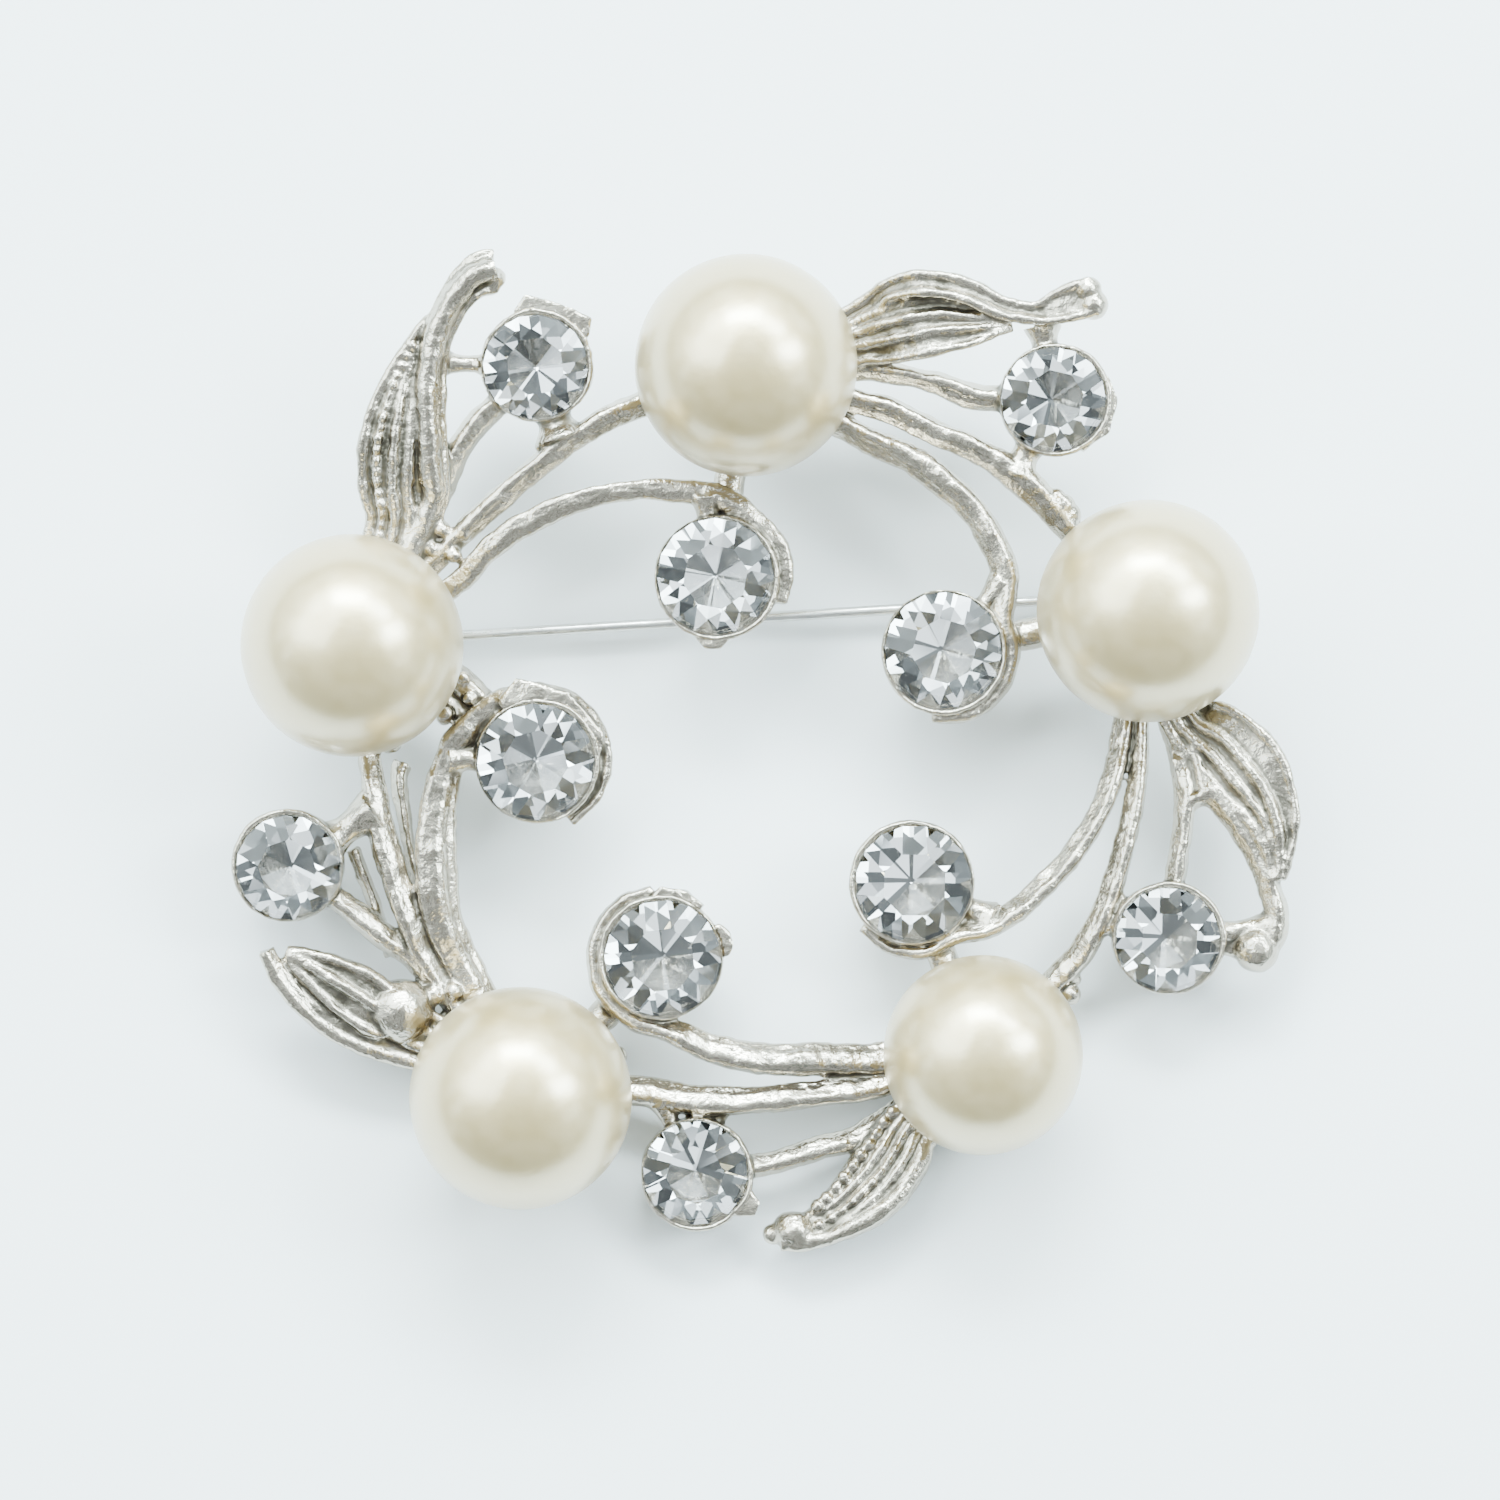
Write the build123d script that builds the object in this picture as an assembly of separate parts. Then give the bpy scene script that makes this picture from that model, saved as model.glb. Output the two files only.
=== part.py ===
from build123d import *

import os
from collections import namedtuple
from math import cos, pi, radians, sin, sqrt

os.makedirs("parts", exist_ok=True)

# Wreath brooch. Five pearls stand on cups round a ring, and from each cup a cast spray of three
# stems and a leaf sweeps clockwise to the next. Two cut stones sit in cups on each spray, and a
# hinged pin crosses the back. The brooch is drawn with its face up, then laid on its back.

# Driving dimensions, in millimetres
wreath_radius = 18.2
pearl_diameter = 10.0
small_pearl_diameter = 9.0
inner_stone_diameter = 5.3
outer_stone_diameter = 4.75
stem_width = 1.15
stem_height = 1.15
branch_rise = 2.0
leaf_width = 3.4
leaf_thickness = 0.9
link_height = 0.9

# Pearl cups, pegs and drilled holes
cup_radius = 3.0
cup_height = 1.5
cup_floor = 0.6
peg_diameter = 0.9
peg_height = 3.6
peg_clearance = 0.05
peg_tip_clearance = 0.3
pearl_gap = 0.05

# Stones and their settings
crown_share = 0.20
pavilion_share = 0.42
table_share = 0.56
girdle_height = 0.15
stone_sides = 16
stone_gap = 0.04
setting_wall = 0.21
setting_floor = 0.45
setting_lip = 0.14
setting_foot_share = 0.72
setting_shoulder_share = 0.5
flap_height = 0.9

# Pin, hinge and catch on the back
needle_diameter = 0.5
needle_drop = 2.2
needle_shaft_start = 2.0
needle_shaft_length = 27.0
needle_taper_diameter = 0.4
needle_point_length = 2.0
needle_past_catch = 1.8
eye_diameter = 1.7
eye_width = 1.0
eye_clearance = 0.05
rivet_diameter = 0.8
rivet_head_diameter = 1.2
rivet_head_height = 0.2
rivet_clearance = 0.02
ear_thickness = 0.45
ear_diameter = 1.8
ear_side_gap = 0.1
bridge_height = 0.8
catch_inner_diameter = 1.0
catch_outer_diameter = 2.0
catch_mouth = 0.84
catch_width = 1.2
catch_offset = 0.9
hinge_offset = 0.3
catch_stalk_width = 0.9

# Places are shares of wreath_radius from the wreath's centre, x to the right and y up the face.
# Lifts are shares of branch_rise above the casting's back, widths are shares of the named width.
Place = namedtuple("Place", "x y")
Row = namedtuple("Row", "x y lift width")
LeafRow = namedtuple("LeafRow", "x y lift width roll")
Wrap = namedtuple("Wrap", "first last width")
Link = namedtuple("Link", "x y lift width")
Spray = namedtuple(
    "Spray",
    "pearl next_pearl pearl_size inner_stone outer_stone inner middle outer leaf wrap "
    "links outer_links flaps outer_flaps",
)

pearl_places = {
    1: Place(-0.01, 0.96),
    2: Place(0.98, 0.355),
    3: Place(-0.98, 0.27),
    4: Place(-0.565, -0.845),
    5: Place(0.575, -0.74),
}

sprays = [
    Spray(
        pearl=1,
        next_pearl=2,
        pearl_size=pearl_diameter,
        inner_stone=Place(0.48, 0.26),
        outer_stone=Place(0.755, 0.885),
        inner=[
            Row(0.30, 0.79, 0.55, 1.0),
            Row(0.40, 0.745, 0.8, 1.1),
            Row(0.49, 0.68, 0.95, 1.1),
            Row(0.56, 0.61, 1.0, 1.05),
            Row(0.61, 0.53, 1.05, 1.1),
            Row(0.64, 0.44, 1.1, 1.05),
        ],
        middle=[
            Row(0.33, 0.87, 0.6, 1.0),
            Row(0.46, 0.81, 0.8, 1.0),
            Row(0.60, 0.745, 0.9, 1.0),
            Row(0.69, 0.68, 0.85, 1.2),
            Row(0.77, 0.60, 0.65, 1.1),
        ],
        outer=[
            Row(0.31, 0.96, 0.55, 0.9),
            Row(0.45, 0.935, 0.75, 0.9),
            Row(0.57, 0.895, 0.8, 1.1),
        ],
        leaf=[
            LeafRow(0.26, 1.05, 0.55, 0.75, -10),
            LeafRow(0.375, 1.095, 0.85, 1.05, -12),
            LeafRow(0.50, 1.11, 1.05, 0.92, -15),
            LeafRow(0.625, 1.11, 1.1, 0.65, -20),
            LeafRow(0.725, 1.09, 1.1, 0.45, -25),
            LeafRow(0.81, 1.12, 1.25, 0.52, -10),
            LeafRow(0.875, 1.15, 1.5, 0.42, 0),
        ],
        wrap=Wrap(28, -100, 0.55),
        links=[Link(0.63, 0.43, 1.0, 1.0)],
        outer_links=[Link(0.73, 1.07, 0.95, 1.2), Link(0.665, 0.70, 0.8, 1.2)],
        flaps=[],
        outer_flaps=[[(25, 1.04), (0, 1.12), (-30, 1.12), (-60, 1.04)]],
    ),
    Spray(
        pearl=2,
        next_pearl=5,
        pearl_size=pearl_diameter,
        inner_stone=Place(0.407, -0.32),
        outer_stone=Place(1.04, -0.46),
        inner=[
            Row(0.93, 0.04, 0.55, 0.85),
            Row(0.91, -0.05, 0.8, 0.85),
            Row(0.865, -0.16, 0.95, 0.82),
            Row(0.79, -0.27, 1.0, 0.85),
            Row(0.69, -0.37, 1.05, 0.9),
            Row(0.60, -0.43, 1.1, 0.9),
        ],
        middle=[
            Row(0.975, 0.03, 0.6, 0.75),
            Row(0.965, -0.09, 0.85, 0.8),
            Row(0.94, -0.21, 0.95, 0.9),
            Row(0.905, -0.33, 0.95, 0.9),
            Row(0.86, -0.44, 0.9, 0.95),
            Row(0.80, -0.53, 0.65, 1.05),
        ],
        outer=[
            Row(1.065, 0.03, 0.5, 0.9),
            Row(1.085, -0.08, 0.75, 0.9),
            Row(1.08, -0.19, 0.8, 0.85),
        ],
        leaf=[
            LeafRow(1.11, 0.08, 0.6, 0.80, 10),
            LeafRow(1.20, 0.0, 0.9, 1.05, 14),
            LeafRow(1.285, -0.10, 1.1, 0.98, 18),
            LeafRow(1.325, -0.20, 1.2, 0.56, 18),
            LeafRow(1.335, -0.285, 1.25, 0.14, 10),
        ],
        wrap=Wrap(-50, -140, 0.5),
        links=[Link(0.60, -0.41, 0.9, 1.1)],
        outer_links=[Link(0.91, -0.40, 0.8, 1.4), Link(1.26, -0.44, 0.9, 1.2)],
        flaps=[],
        outer_flaps=[],
    ),
    Spray(
        pearl=5,
        next_pearl=4,
        pearl_size=small_pearl_diameter,
        inner_stone=Place(-0.217, -0.506),
        outer_stone=Place(-0.136, -1.04),
        inner=[
            Row(0.30, -0.765, 0.55, 1.2),
            Row(0.16, -0.765, 0.8, 1.25),
            Row(0.02, -0.76, 0.95, 1.25),
            Row(-0.10, -0.735, 1.0, 1.1),
            Row(-0.20, -0.69, 1.05, 1.0),
        ],
        middle=[
            Row(0.32, -0.83, 0.6, 1.0),
            Row(0.16, -0.85, 0.85, 1.05),
            Row(0.0, -0.865, 0.95, 1.1),
            Row(-0.14, -0.865, 0.95, 1.2),
            Row(-0.27, -0.845, 0.7, 1.2),
        ],
        outer=[
            Row(0.30, -0.94, 0.55, 1.0),
            Row(0.17, -0.985, 0.75, 1.0),
            Row(0.05, -1.02, 0.8, 0.95),
        ],
        leaf=[
            LeafRow(0.385, -0.93, 0.6, 0.82, 0),
            LeafRow(0.305, -1.08, 0.85, 1.0, 8),
            LeafRow(0.19, -1.165, 0.95, 0.78, 14),
            LeafRow(0.10, -1.20, 0.95, 0.48, 12),
            LeafRow(0.045, -1.205, 1.0, 0.22, 0),
        ],
        wrap=Wrap(-118, -262, 0.6),
        links=[],
        outer_links=[Link(-0.22, -0.87, 0.8, 0.8), Link(-0.06, -0.87, 0.8, 0.7)],
        flaps=[
            [(100, 1.02), (92, 1.13), (70, 1.13), (52, 1.06)],
            [(32, 1.04), (22, 1.13), (10, 1.13), (2, 1.04)],
        ],
        outer_flaps=[[(-18, 1.02), (-24, 1.22), (-36, 1.26), (-46, 1.04)]],
    ),
    Spray(
        pearl=4,
        next_pearl=3,
        pearl_size=pearl_diameter,
        inner_stone=Place(-0.533, -0.017),
        outer_stone=Place(-1.149, -0.28),
        inner=[
            Row(-0.72, -0.53, 0.6, 1.2),
            Row(-0.762, -0.44, 0.8, 1.25),
            Row(-0.785, -0.34, 0.95, 1.35),
            Row(-0.79, -0.23, 1.0, 1.35),
            Row(-0.78, -0.12, 1.0, 1.2),
            Row(-0.76, -0.03, 1.05, 1.05),
            Row(-0.715, 0.055, 1.1, 1.0),
        ],
        middle=[
            Row(-0.80, -0.53, 0.65, 1.0),
            Row(-0.845, -0.43, 0.85, 1.05),
            Row(-0.885, -0.32, 0.95, 1.1),
            Row(-0.92, -0.20, 0.95, 1.1),
            Row(-0.94, -0.09, 0.9, 1.0),
            Row(-0.955, 0.0, 0.65, 0.9),
        ],
        outer=[
            Row(-0.83, -0.52, 0.55, 1.1),
            Row(-0.92, -0.45, 0.75, 1.1),
            Row(-1.0, -0.385, 0.8, 1.0),
        ],
        leaf=[
            LeafRow(-0.86, -0.69, 0.6, 0.70, 0),
            LeafRow(-0.945, -0.655, 0.85, 0.92, -8),
            LeafRow(-1.04, -0.61, 1.0, 1.0, -14),
            LeafRow(-1.13, -0.55, 1.05, 0.80, -16),
            LeafRow(-1.215, -0.49, 1.15, 0.32, -10),
        ],
        wrap=Wrap(122, -60, 0.5),
        links=[Link(-0.75, -0.01, 1.0, 1.0)],
        outer_links=[Link(-0.94, -0.14, 0.85, 1.4)],
        flaps=[
            [(122, 1.10), (104, 1.36), (64, 1.20), (24, 1.16), (8, 1.04)],
        ],
        outer_flaps=[],
    ),
    Spray(
        pearl=3,
        next_pearl=1,
        pearl_size=pearl_diameter,
        inner_stone=Place(-0.086, 0.444),
        outer_stone=Place(-0.534, 0.966),
        inner=[
            Row(-0.73, 0.43, 0.6, 0.9),
            Row(-0.65, 0.515, 0.8, 0.9),
            Row(-0.56, 0.575, 0.9, 0.95),
            Row(-0.45, 0.625, 1.0, 0.85),
            Row(-0.33, 0.655, 1.05, 0.8),
            Row(-0.20, 0.66, 1.05, 0.85),
            Row(-0.07, 0.64, 1.1, 1.0),
        ],
        middle=[
            Row(-0.76, 0.515, 0.65, 0.9),
            Row(-0.66, 0.61, 0.85, 0.95),
            Row(-0.57, 0.69, 0.9, 0.9),
            Row(-0.47, 0.77, 0.95, 0.95),
            Row(-0.36, 0.84, 0.9, 0.95),
            Row(-0.27, 0.88, 0.65, 1.0),
        ],
        outer=[
            Row(-0.775, 0.66, 0.6, 1.1),
            Row(-0.73, 0.76, 0.75, 1.05),
            Row(-0.67, 0.84, 0.8, 1.05),
        ],
        leaf=[
            LeafRow(-0.865, 0.56, 0.6, 0.88, 0),
            LeafRow(-0.885, 0.74, 0.85, 1.06, 8),
            LeafRow(-0.865, 0.89, 1.0, 0.92, 14),
            LeafRow(-0.82, 1.03, 1.1, 0.60, 20),
            LeafRow(-0.755, 1.14, 1.2, 0.46, 20),
            LeafRow(-0.685, 1.21, 1.35, 0.46, 10),
            LeafRow(-0.62, 1.225, 1.5, 0.38, 0),
        ],
        wrap=Wrap(60, -22, 0.7),
        links=[Link(-0.11, 0.645, 1.0, 1.0)],
        outer_links=[Link(-0.77, 0.98, 0.9, 0.85), Link(-0.47, 0.79, 0.8, 1.7)],
        flaps=[[(-78, 1.02), (-86, 1.14), (-98, 1.14), (-108, 1.02)]],
        outer_flaps=[[(112, 1.04), (98, 1.26), (66, 1.18), (41, 1.28), (30, 1.06)]],
    ),
]

# The second spray's leaf splits, and its inner lobe loops back to a round bud beside the stone.
lobe_rows = [
    Row(1.13, -0.08, 0.85, 1.1),
    Row(1.18, -0.14, 0.95, 1.0),
    Row(1.235, -0.22, 1.0, 0.9),
    Row(1.275, -0.31, 1.05, 0.8),
    Row(1.305, -0.385, 1.1, 1.1),
    Row(1.28, -0.455, 1.0, 1.3),
]
bud_place = Place(1.262, -0.488)
bud_radius = 0.9
bud_lift = 1.0

# The fourth spray's leaf grows from behind a plain dome.
dome_place = Place(-0.875, -0.645)
dome_radius = 1.35
dome_lift = 0.75

# Both balls are turned so that their poles lie clear of the stems, in degrees
ball_turn = -45

# How far a stem runs into what it joins, as shares of that thing's radius
cup_grip = 0.55
setting_grip = 0.62
wrap_out = 0.15
wrap_step = 30
leaf_root_share = 0.8
middle_root_rise = 0.13
outer_root_rise = 0.05
leaf_root_rise = 0.3
sections_per_row = 2
bridge_to_pearl_width = 1.5
bridge_lift = 0.62

# Shape of a stem's section and of a leaf's, as shares of its width and height
stem_back = 0.42
stem_shoulder = 0.1
leaf_back_hollow = 0.12
leaf_rib_count = 4
leaf_rib_height = 0.35


def at(place, lift=0.0):
    """The point over a place on the face, at a share of branch_rise above the back."""
    return Vector(place.x * wreath_radius, place.y * wreath_radius, lift * branch_rise)


def upright(point, heading):
    """The plane across a path at a point: x to the left of the heading and y away from the back."""
    left = Vector(0, 0, 1).cross(heading)
    return Plane(origin=point, x_dir=left, z_dir=heading)


def stem_outline(width, height):
    """A stem's section: a flat back, two leaning sides and an arched ridge."""
    foot = stem_back * width
    left_foot = (-foot, -height / 2)
    right_foot = (foot, -height / 2)
    left_shoulder = (-width / 2, stem_shoulder * height)
    right_shoulder = (width / 2, stem_shoulder * height)
    back = Line(left_foot, right_foot)
    right = Line(right_foot, right_shoulder)
    ridge = ThreePointArc(right_shoulder, (0, height / 2), left_shoulder)
    left = Line(left_shoulder, left_foot)
    return Wire([back, right, ridge, left])


def leaf_outline(width, roll):
    """A leaf's section: a hollow back, thin edges and a row of arched ribs, rolled about its middle."""
    half = width / 2
    edge = leaf_thickness / 4
    hollow = leaf_back_hollow * width
    rib_width = width / leaf_rib_count
    back = ThreePointArc((-half, -edge), (0, hollow - edge), (half, -edge))
    edges = [back]
    crown = []
    for i in range(leaf_rib_count + 1):
        across = half - i * rib_width
        up = edge + (leaf_thickness - edge) * (1 - (across / half) ** 2)
        crown.append((across, up))
    edges.append(Line((half, -edge), crown[0]))
    rib_rise = leaf_rib_height * min(rib_width, leaf_thickness)
    for start, end in zip(crown, crown[1:]):
        middle = ((start[0] + end[0]) / 2, (start[1] + end[1]) / 2 + rib_rise)
        edges.append(ThreePointArc(start, middle, end))
    edges.append(Line(crown[-1], (-half, -edge)))
    return Wire(edges).rotate(Axis.Z, roll)


def loft_along(points, sizes, outline):
    """A solid along a curved path, with straight walls between sections: outline draws one from sizes."""
    path = Edge.make_spline(points)
    marks = [path.param_at_point(point) for point in points]
    stations = []
    for i in range(len(points) - 1):
        for j in range(sections_per_row):
            share = j / sections_per_row
            mark = marks[i] + (marks[i + 1] - marks[i]) * share
            mixed = [a * (1 - share) + b * share for a, b in zip(sizes[i], sizes[i + 1])]
            stations.append((mark, mixed))
    stations.append((marks[-1], sizes[-1]))
    wires = []
    for mark, mixed in stations:
        plane = upright(path.position_at(mark), path.tangent_at(mark))
        wires.append(plane.from_local_coords(outline(*mixed)))
    return Solid.make_loft(wires, ruled=True)


def toward(start, end, distance):
    """The point at a distance from start, on the level line to end."""
    away = Vector(end.X - start.X, end.Y - start.Y, 0).normalized()
    return start + away * distance


def stem(start, rows, end, extra=()):
    """A stem from one anchor point through its rows, then any extra points, to another."""
    points = [at(Place(row.x, row.y), row.lift) for row in rows]
    widths = [row.width for row in rows]
    points += [point for point, width in extra]
    widths += [width for point, width in extra]
    if start is not None:
        points.insert(0, start)
        widths.insert(0, widths[0])
    if end is not None:
        points.append(end)
        widths.append(widths[-1])
    sizes = [(width * stem_width, stem_height * min(1, width)) for width in widths]
    return loft_along(points, sizes, stem_outline)


def bar(start, end, width, height):
    """A short straight link between two points, with a stem's section."""
    heading = (end - start).normalized()
    outline = stem_outline(width, height)
    return Solid.make_loft([upright(point, heading).from_local_coords(outline) for point in (start, end)])


def turned(profile):
    """A solid of revolution about Z from (radius, height) corners."""
    return revolve(make_face(Plane.XZ * Polyline(*profile, close=True)), Axis.Z)


def pearl_centre(place, diameter):
    """The middle of the pearl that stands on a cup."""
    return at(place) + Vector(0, 0, cup_floor + pearl_gap + diameter / 2)


def cup(place):
    """A pearl's cup, still without the hollow that the pearl sits in."""
    profile = [(0, 0), (cup_radius, 0), (cup_radius, cup_height), (0, cup_height)]
    return turned(profile).moved(Location(at(place)))


def stone_levels(diameter):
    """Heights over the back of a stone's point, the girdle's lower and upper edge, and the table."""
    point = setting_floor + stone_gap
    girdle = point + pavilion_share * diameter
    return point, girdle, girdle + girdle_height, girdle + girdle_height + crown_share * diameter


def setting_radius(diameter):
    """A setting's outer radius at its rim."""
    return diameter / 2 + stone_gap + setting_wall


def setting_height(diameter):
    """The height of a setting's rim over the back."""
    return stone_levels(diameter)[2] + setting_lip


def setting(place, diameter, flaps):
    """A stone's setting with its flaps, still without the hollow for the stone."""
    rim = setting_radius(diameter)
    height = setting_height(diameter)
    foot = setting_foot_share * rim
    shoulder = setting_shoulder_share * height
    body = turned([(0, 0), (foot, 0), (rim, shoulder), (rim, height), (0, height)])
    for flap in flaps:
        corners = []
        for turn, share in flap:
            corners.append((share * rim * cos(radians(turn)), share * rim * sin(radians(turn))))
        plate = make_face(Polyline((0, 0), *corners, close=True))
        body += Pos(0, 0, height - flap_height) * extrude(plate, flap_height)
    return body.moved(Location(at(place)))


def stone_hollow(place, diameter):
    """The room a stone needs in its setting, with stone_gap all round."""
    point, girdle, girdle_top, table = stone_levels(diameter)
    radius = diameter / 2 + stone_gap
    flat = table_share * diameter / 2 + stone_gap
    profile = [
        (0, point - stone_gap),
        (radius, girdle - stone_gap),
        (radius, girdle_top),
        (flat, table + stone_gap),
        (0, table + stone_gap),
    ]
    return turned(profile).moved(Location(at(place)))


def stone(place, diameter):
    """A cut stone: an eight-sided table, a crown and a pavilion that meet at a many-sided girdle."""
    point, girdle, girdle_top, table = stone_levels(diameter)
    radius = diameter / 2

    def ring(count, size, height, shift):
        turns = [2 * pi * (i + shift) / count for i in range(count)]
        return [Vector(size * cos(turn), size * sin(turn), height) for turn in turns]

    half = stone_sides // 2
    low = ring(stone_sides, radius, girdle, 0.5)
    high = ring(stone_sides, radius, girdle_top, 0.5)
    flat = ring(half, table_share * radius, table, 0.0)
    tip = Vector(0, 0, point)
    facets = [flat]
    for i in range(half):
        ahead = (i + 1) % half
        a, b, c = high[2 * i], high[2 * i - 1], high[(2 * i + 1) % stone_sides]
        facets.append([flat[i], b, a])
        facets.append([flat[i], a, c, flat[ahead]])
    for i in range(stone_sides):
        ahead = (i + 1) % stone_sides
        facets.append([high[i], low[i], low[ahead], high[ahead]])
        facets.append([low[i], tip, low[ahead]])
    faces = [Face(Wire.make_polygon(facet)) for facet in facets]
    return Solid(Shell(faces)).moved(Location(at(place)))


def pearl(place, diameter):
    """A pearl with a blind hole for its peg."""
    centre = pearl_centre(place, diameter)
    hole_radius = peg_diameter / 2 + peg_clearance
    top = cup_floor + peg_height + peg_tip_clearance
    hole = Pos(centre.X, centre.Y, 0) * extrude(Circle(hole_radius), top)
    return Location(centre) * Sphere(diameter / 2) - hole


# Pin line, from the hinge behind one cup to the catch behind another
hinge_point = at(pearl_places[3]) + Vector(0, hinge_offset, -needle_drop)
catch_point = at(pearl_places[2]) + Vector(0, catch_offset, -needle_drop)
pin_run = (catch_point - hinge_point).length
pin_heading = (catch_point - hinge_point).normalized()
hinge_axis = Vector(0, 0, 1).cross(pin_heading)
needle_length = pin_run + needle_past_catch
hinge_plane = Plane(origin=hinge_point, x_dir=pin_heading, z_dir=hinge_axis)
catch_plane = Plane(origin=catch_point, x_dir=hinge_axis * -1, z_dir=pin_heading)
back_up = 1 if hinge_plane.y_dir.Z > 0 else -1


def ear(offset):
    """One ear of the hinge bracket, its middle at an offset along the hinge's axis."""
    rounded = Circle(ear_diameter / 2)
    reach = needle_drop + cup_floor / 2
    web = Pos(0, back_up * reach / 2) * Rectangle(ear_diameter, reach)
    bore = Circle(rivet_diameter / 2 + rivet_clearance)
    plate = extrude(rounded + web - bore, ear_thickness)
    return hinge_plane.from_local_coords(Pos(0, 0, offset - ear_thickness / 2) * plate)


def hinge_bracket():
    """Two ears and the bridge that joins them to the cup's back."""
    offset = eye_width / 2 + ear_side_gap + ear_thickness / 2
    width = 2 * offset + ear_thickness
    thick = bridge_height + cup_floor / 2
    block = Box(ear_diameter, thick, width)
    bridge = Pos(0, back_up * (needle_drop - bridge_height + thick / 2), 0) * block
    return [ear(offset), ear(-offset), hinge_plane.from_local_coords(bridge)]


def catch():
    """A plain open ring on a stalk, its mouth away from the back so that the pin swings clear."""
    ring = Circle(catch_outer_diameter / 2) - Circle(catch_inner_diameter / 2)
    up = 1 if catch_plane.y_dir.Z > 0 else -1
    mouth = Pos(0, -up * catch_outer_diameter / 2) * Rectangle(catch_mouth, catch_outer_diameter)
    top = needle_drop + cup_floor / 2
    start = (catch_inner_diameter + catch_outer_diameter) / 4
    stalk = Pos(0, up * (start + top) / 2) * Rectangle(catch_stalk_width, top - start)
    hook = extrude(ring - mouth + stalk, catch_width)
    return catch_plane.from_local_coords(Pos(0, 0, -catch_width / 2) * hook)


def rivet():
    """The hinge rivet with a head outside each ear."""
    reach = eye_width / 2 + ear_side_gap + ear_thickness + rivet_clearance
    shank = extrude(Circle(rivet_diameter / 2), reach, both=True)
    head = extrude(Circle(rivet_head_diameter / 2), rivet_head_height)
    solid = shank + Pos(0, 0, reach) * head + Pos(0, 0, -reach - rivet_head_height) * head
    return hinge_plane.from_local_coords(solid)


def pin():
    """The needle: a flat eye, a tapering root, a round shaft and a long point."""
    eye = Circle(eye_diameter / 2) - Circle(rivet_diameter / 2 + eye_clearance)
    eye = Pos(0, 0, -eye_width / 2) * extrude(eye, eye_width)
    root = (rivet_diameter / 2 + eye_clearance + eye_diameter / 2) / 2
    shaft_end = needle_shaft_start + needle_shaft_length
    point_start = needle_length - needle_point_length
    shaft_radius = needle_diameter / 2
    profile = [
        (0, root),
        (eye_width / 2, root),
        (shaft_radius, needle_shaft_start),
        (shaft_radius, shaft_end),
        (needle_taper_diameter / 2, point_start),
        (0, needle_length),
    ]
    shaft = turned(profile).rotate(Axis.Y, 90)
    return hinge_plane.from_local_coords(eye + shaft)


def spray_metal(spray):
    """The stems, leaf, links and settings of one spray."""
    own = at(pearl_places[spray.pearl])
    following = at(pearl_places[spray.next_pearl])
    inner_centre = at(spray.inner_stone)
    outer_centre = at(spray.outer_stone)
    inner_rim = setting_radius(inner_stone_diameter)
    outer_rim = setting_radius(outer_stone_diameter)
    level = Vector(0, 0, cup_floor)

    def from_cup(rows, rise=0.0):
        return toward(own, at(rows[0]), cup_grip * cup_radius) + Vector(0, 0, cup_floor + rise)

    def wrap_points():
        first, last, end_width = spray.wrap
        reach = inner_rim + wrap_out * stem_width
        steps = max(2, round(abs(last - first) / wrap_step))
        lift = spray.inner[-1].lift
        result = []
        for i in range(steps + 1):
            share = i / steps
            turn = radians(first + (last - first) * share)
            spot = inner_centre + Vector(reach * cos(turn), reach * sin(turn), lift * branch_rise)
            result.append((spot, spray.inner[-1].width * (1 - share) + end_width * share))
        return result

    middle_end = toward(following, at(spray.middle[-1]), cup_grip * cup_radius) + level
    outer_end = toward(outer_centre, at(spray.outer[-1]), setting_grip * outer_rim)
    outer_end += Vector(0, 0, spray.outer[-1].lift * branch_rise)
    solids = [
        stem(from_cup(spray.inner), spray.inner, None, wrap_points()),
        stem(from_cup(spray.middle, middle_root_rise), spray.middle, middle_end),
        stem(from_cup(spray.outer, outer_root_rise), spray.outer, outer_end),
        leaf(from_cup(spray.leaf, leaf_root_rise), spray.leaf),
        cup(pearl_places[spray.pearl]),
        setting(spray.inner_stone, inner_stone_diameter, spray.flaps),
        setting(spray.outer_stone, outer_stone_diameter, spray.outer_flaps),
    ]
    bridge_start = toward(inner_centre, following, setting_grip * inner_rim)
    bridge_end = toward(following, inner_centre, cup_grip * cup_radius)
    rise = Vector(0, 0, bridge_lift * branch_rise)
    solids.append(bar(bridge_start + rise, bridge_end + level, bridge_to_pearl_width, link_height))
    joined = [(link, inner_centre, inner_rim) for link in spray.links]
    joined += [(link, outer_centre, outer_rim) for link in spray.outer_links]
    for link, centre, rim in joined:
        start = at(Place(link.x, link.y), link.lift)
        end = toward(centre, start, setting_grip * rim) + Vector(0, 0, link.lift * branch_rise)
        solids.append(bar(start, end, link.width * stem_width, link_height))
    return solids


def leaf(start, rows):
    """A ribbed leaf from its cup to its tip."""
    points = [start] + [at(Place(row.x, row.y), row.lift) for row in rows]
    sizes = [(rows[0].width * leaf_root_share * leaf_width, rows[0].roll)]
    sizes += [(row.width * leaf_width, row.roll) for row in rows]
    return loft_along(points, sizes, leaf_outline)


def ball(place, lift, radius):
    """A cast ball on the face."""
    return Location(at(place, lift)) * Sphere(radius).rotate(Axis.X, ball_turn)


def hollows():
    """The room that the pearls and stones need in the casting."""
    result = []
    for spray in sprays:
        centre = pearl_centre(pearl_places[spray.pearl], spray.pearl_size)
        result.append(Location(centre) * Sphere(spray.pearl_size / 2 + pearl_gap))
        result.append(stone_hollow(spray.inner_stone, inner_stone_diameter))
        result.append(stone_hollow(spray.outer_stone, outer_stone_diameter))
    return result


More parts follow.
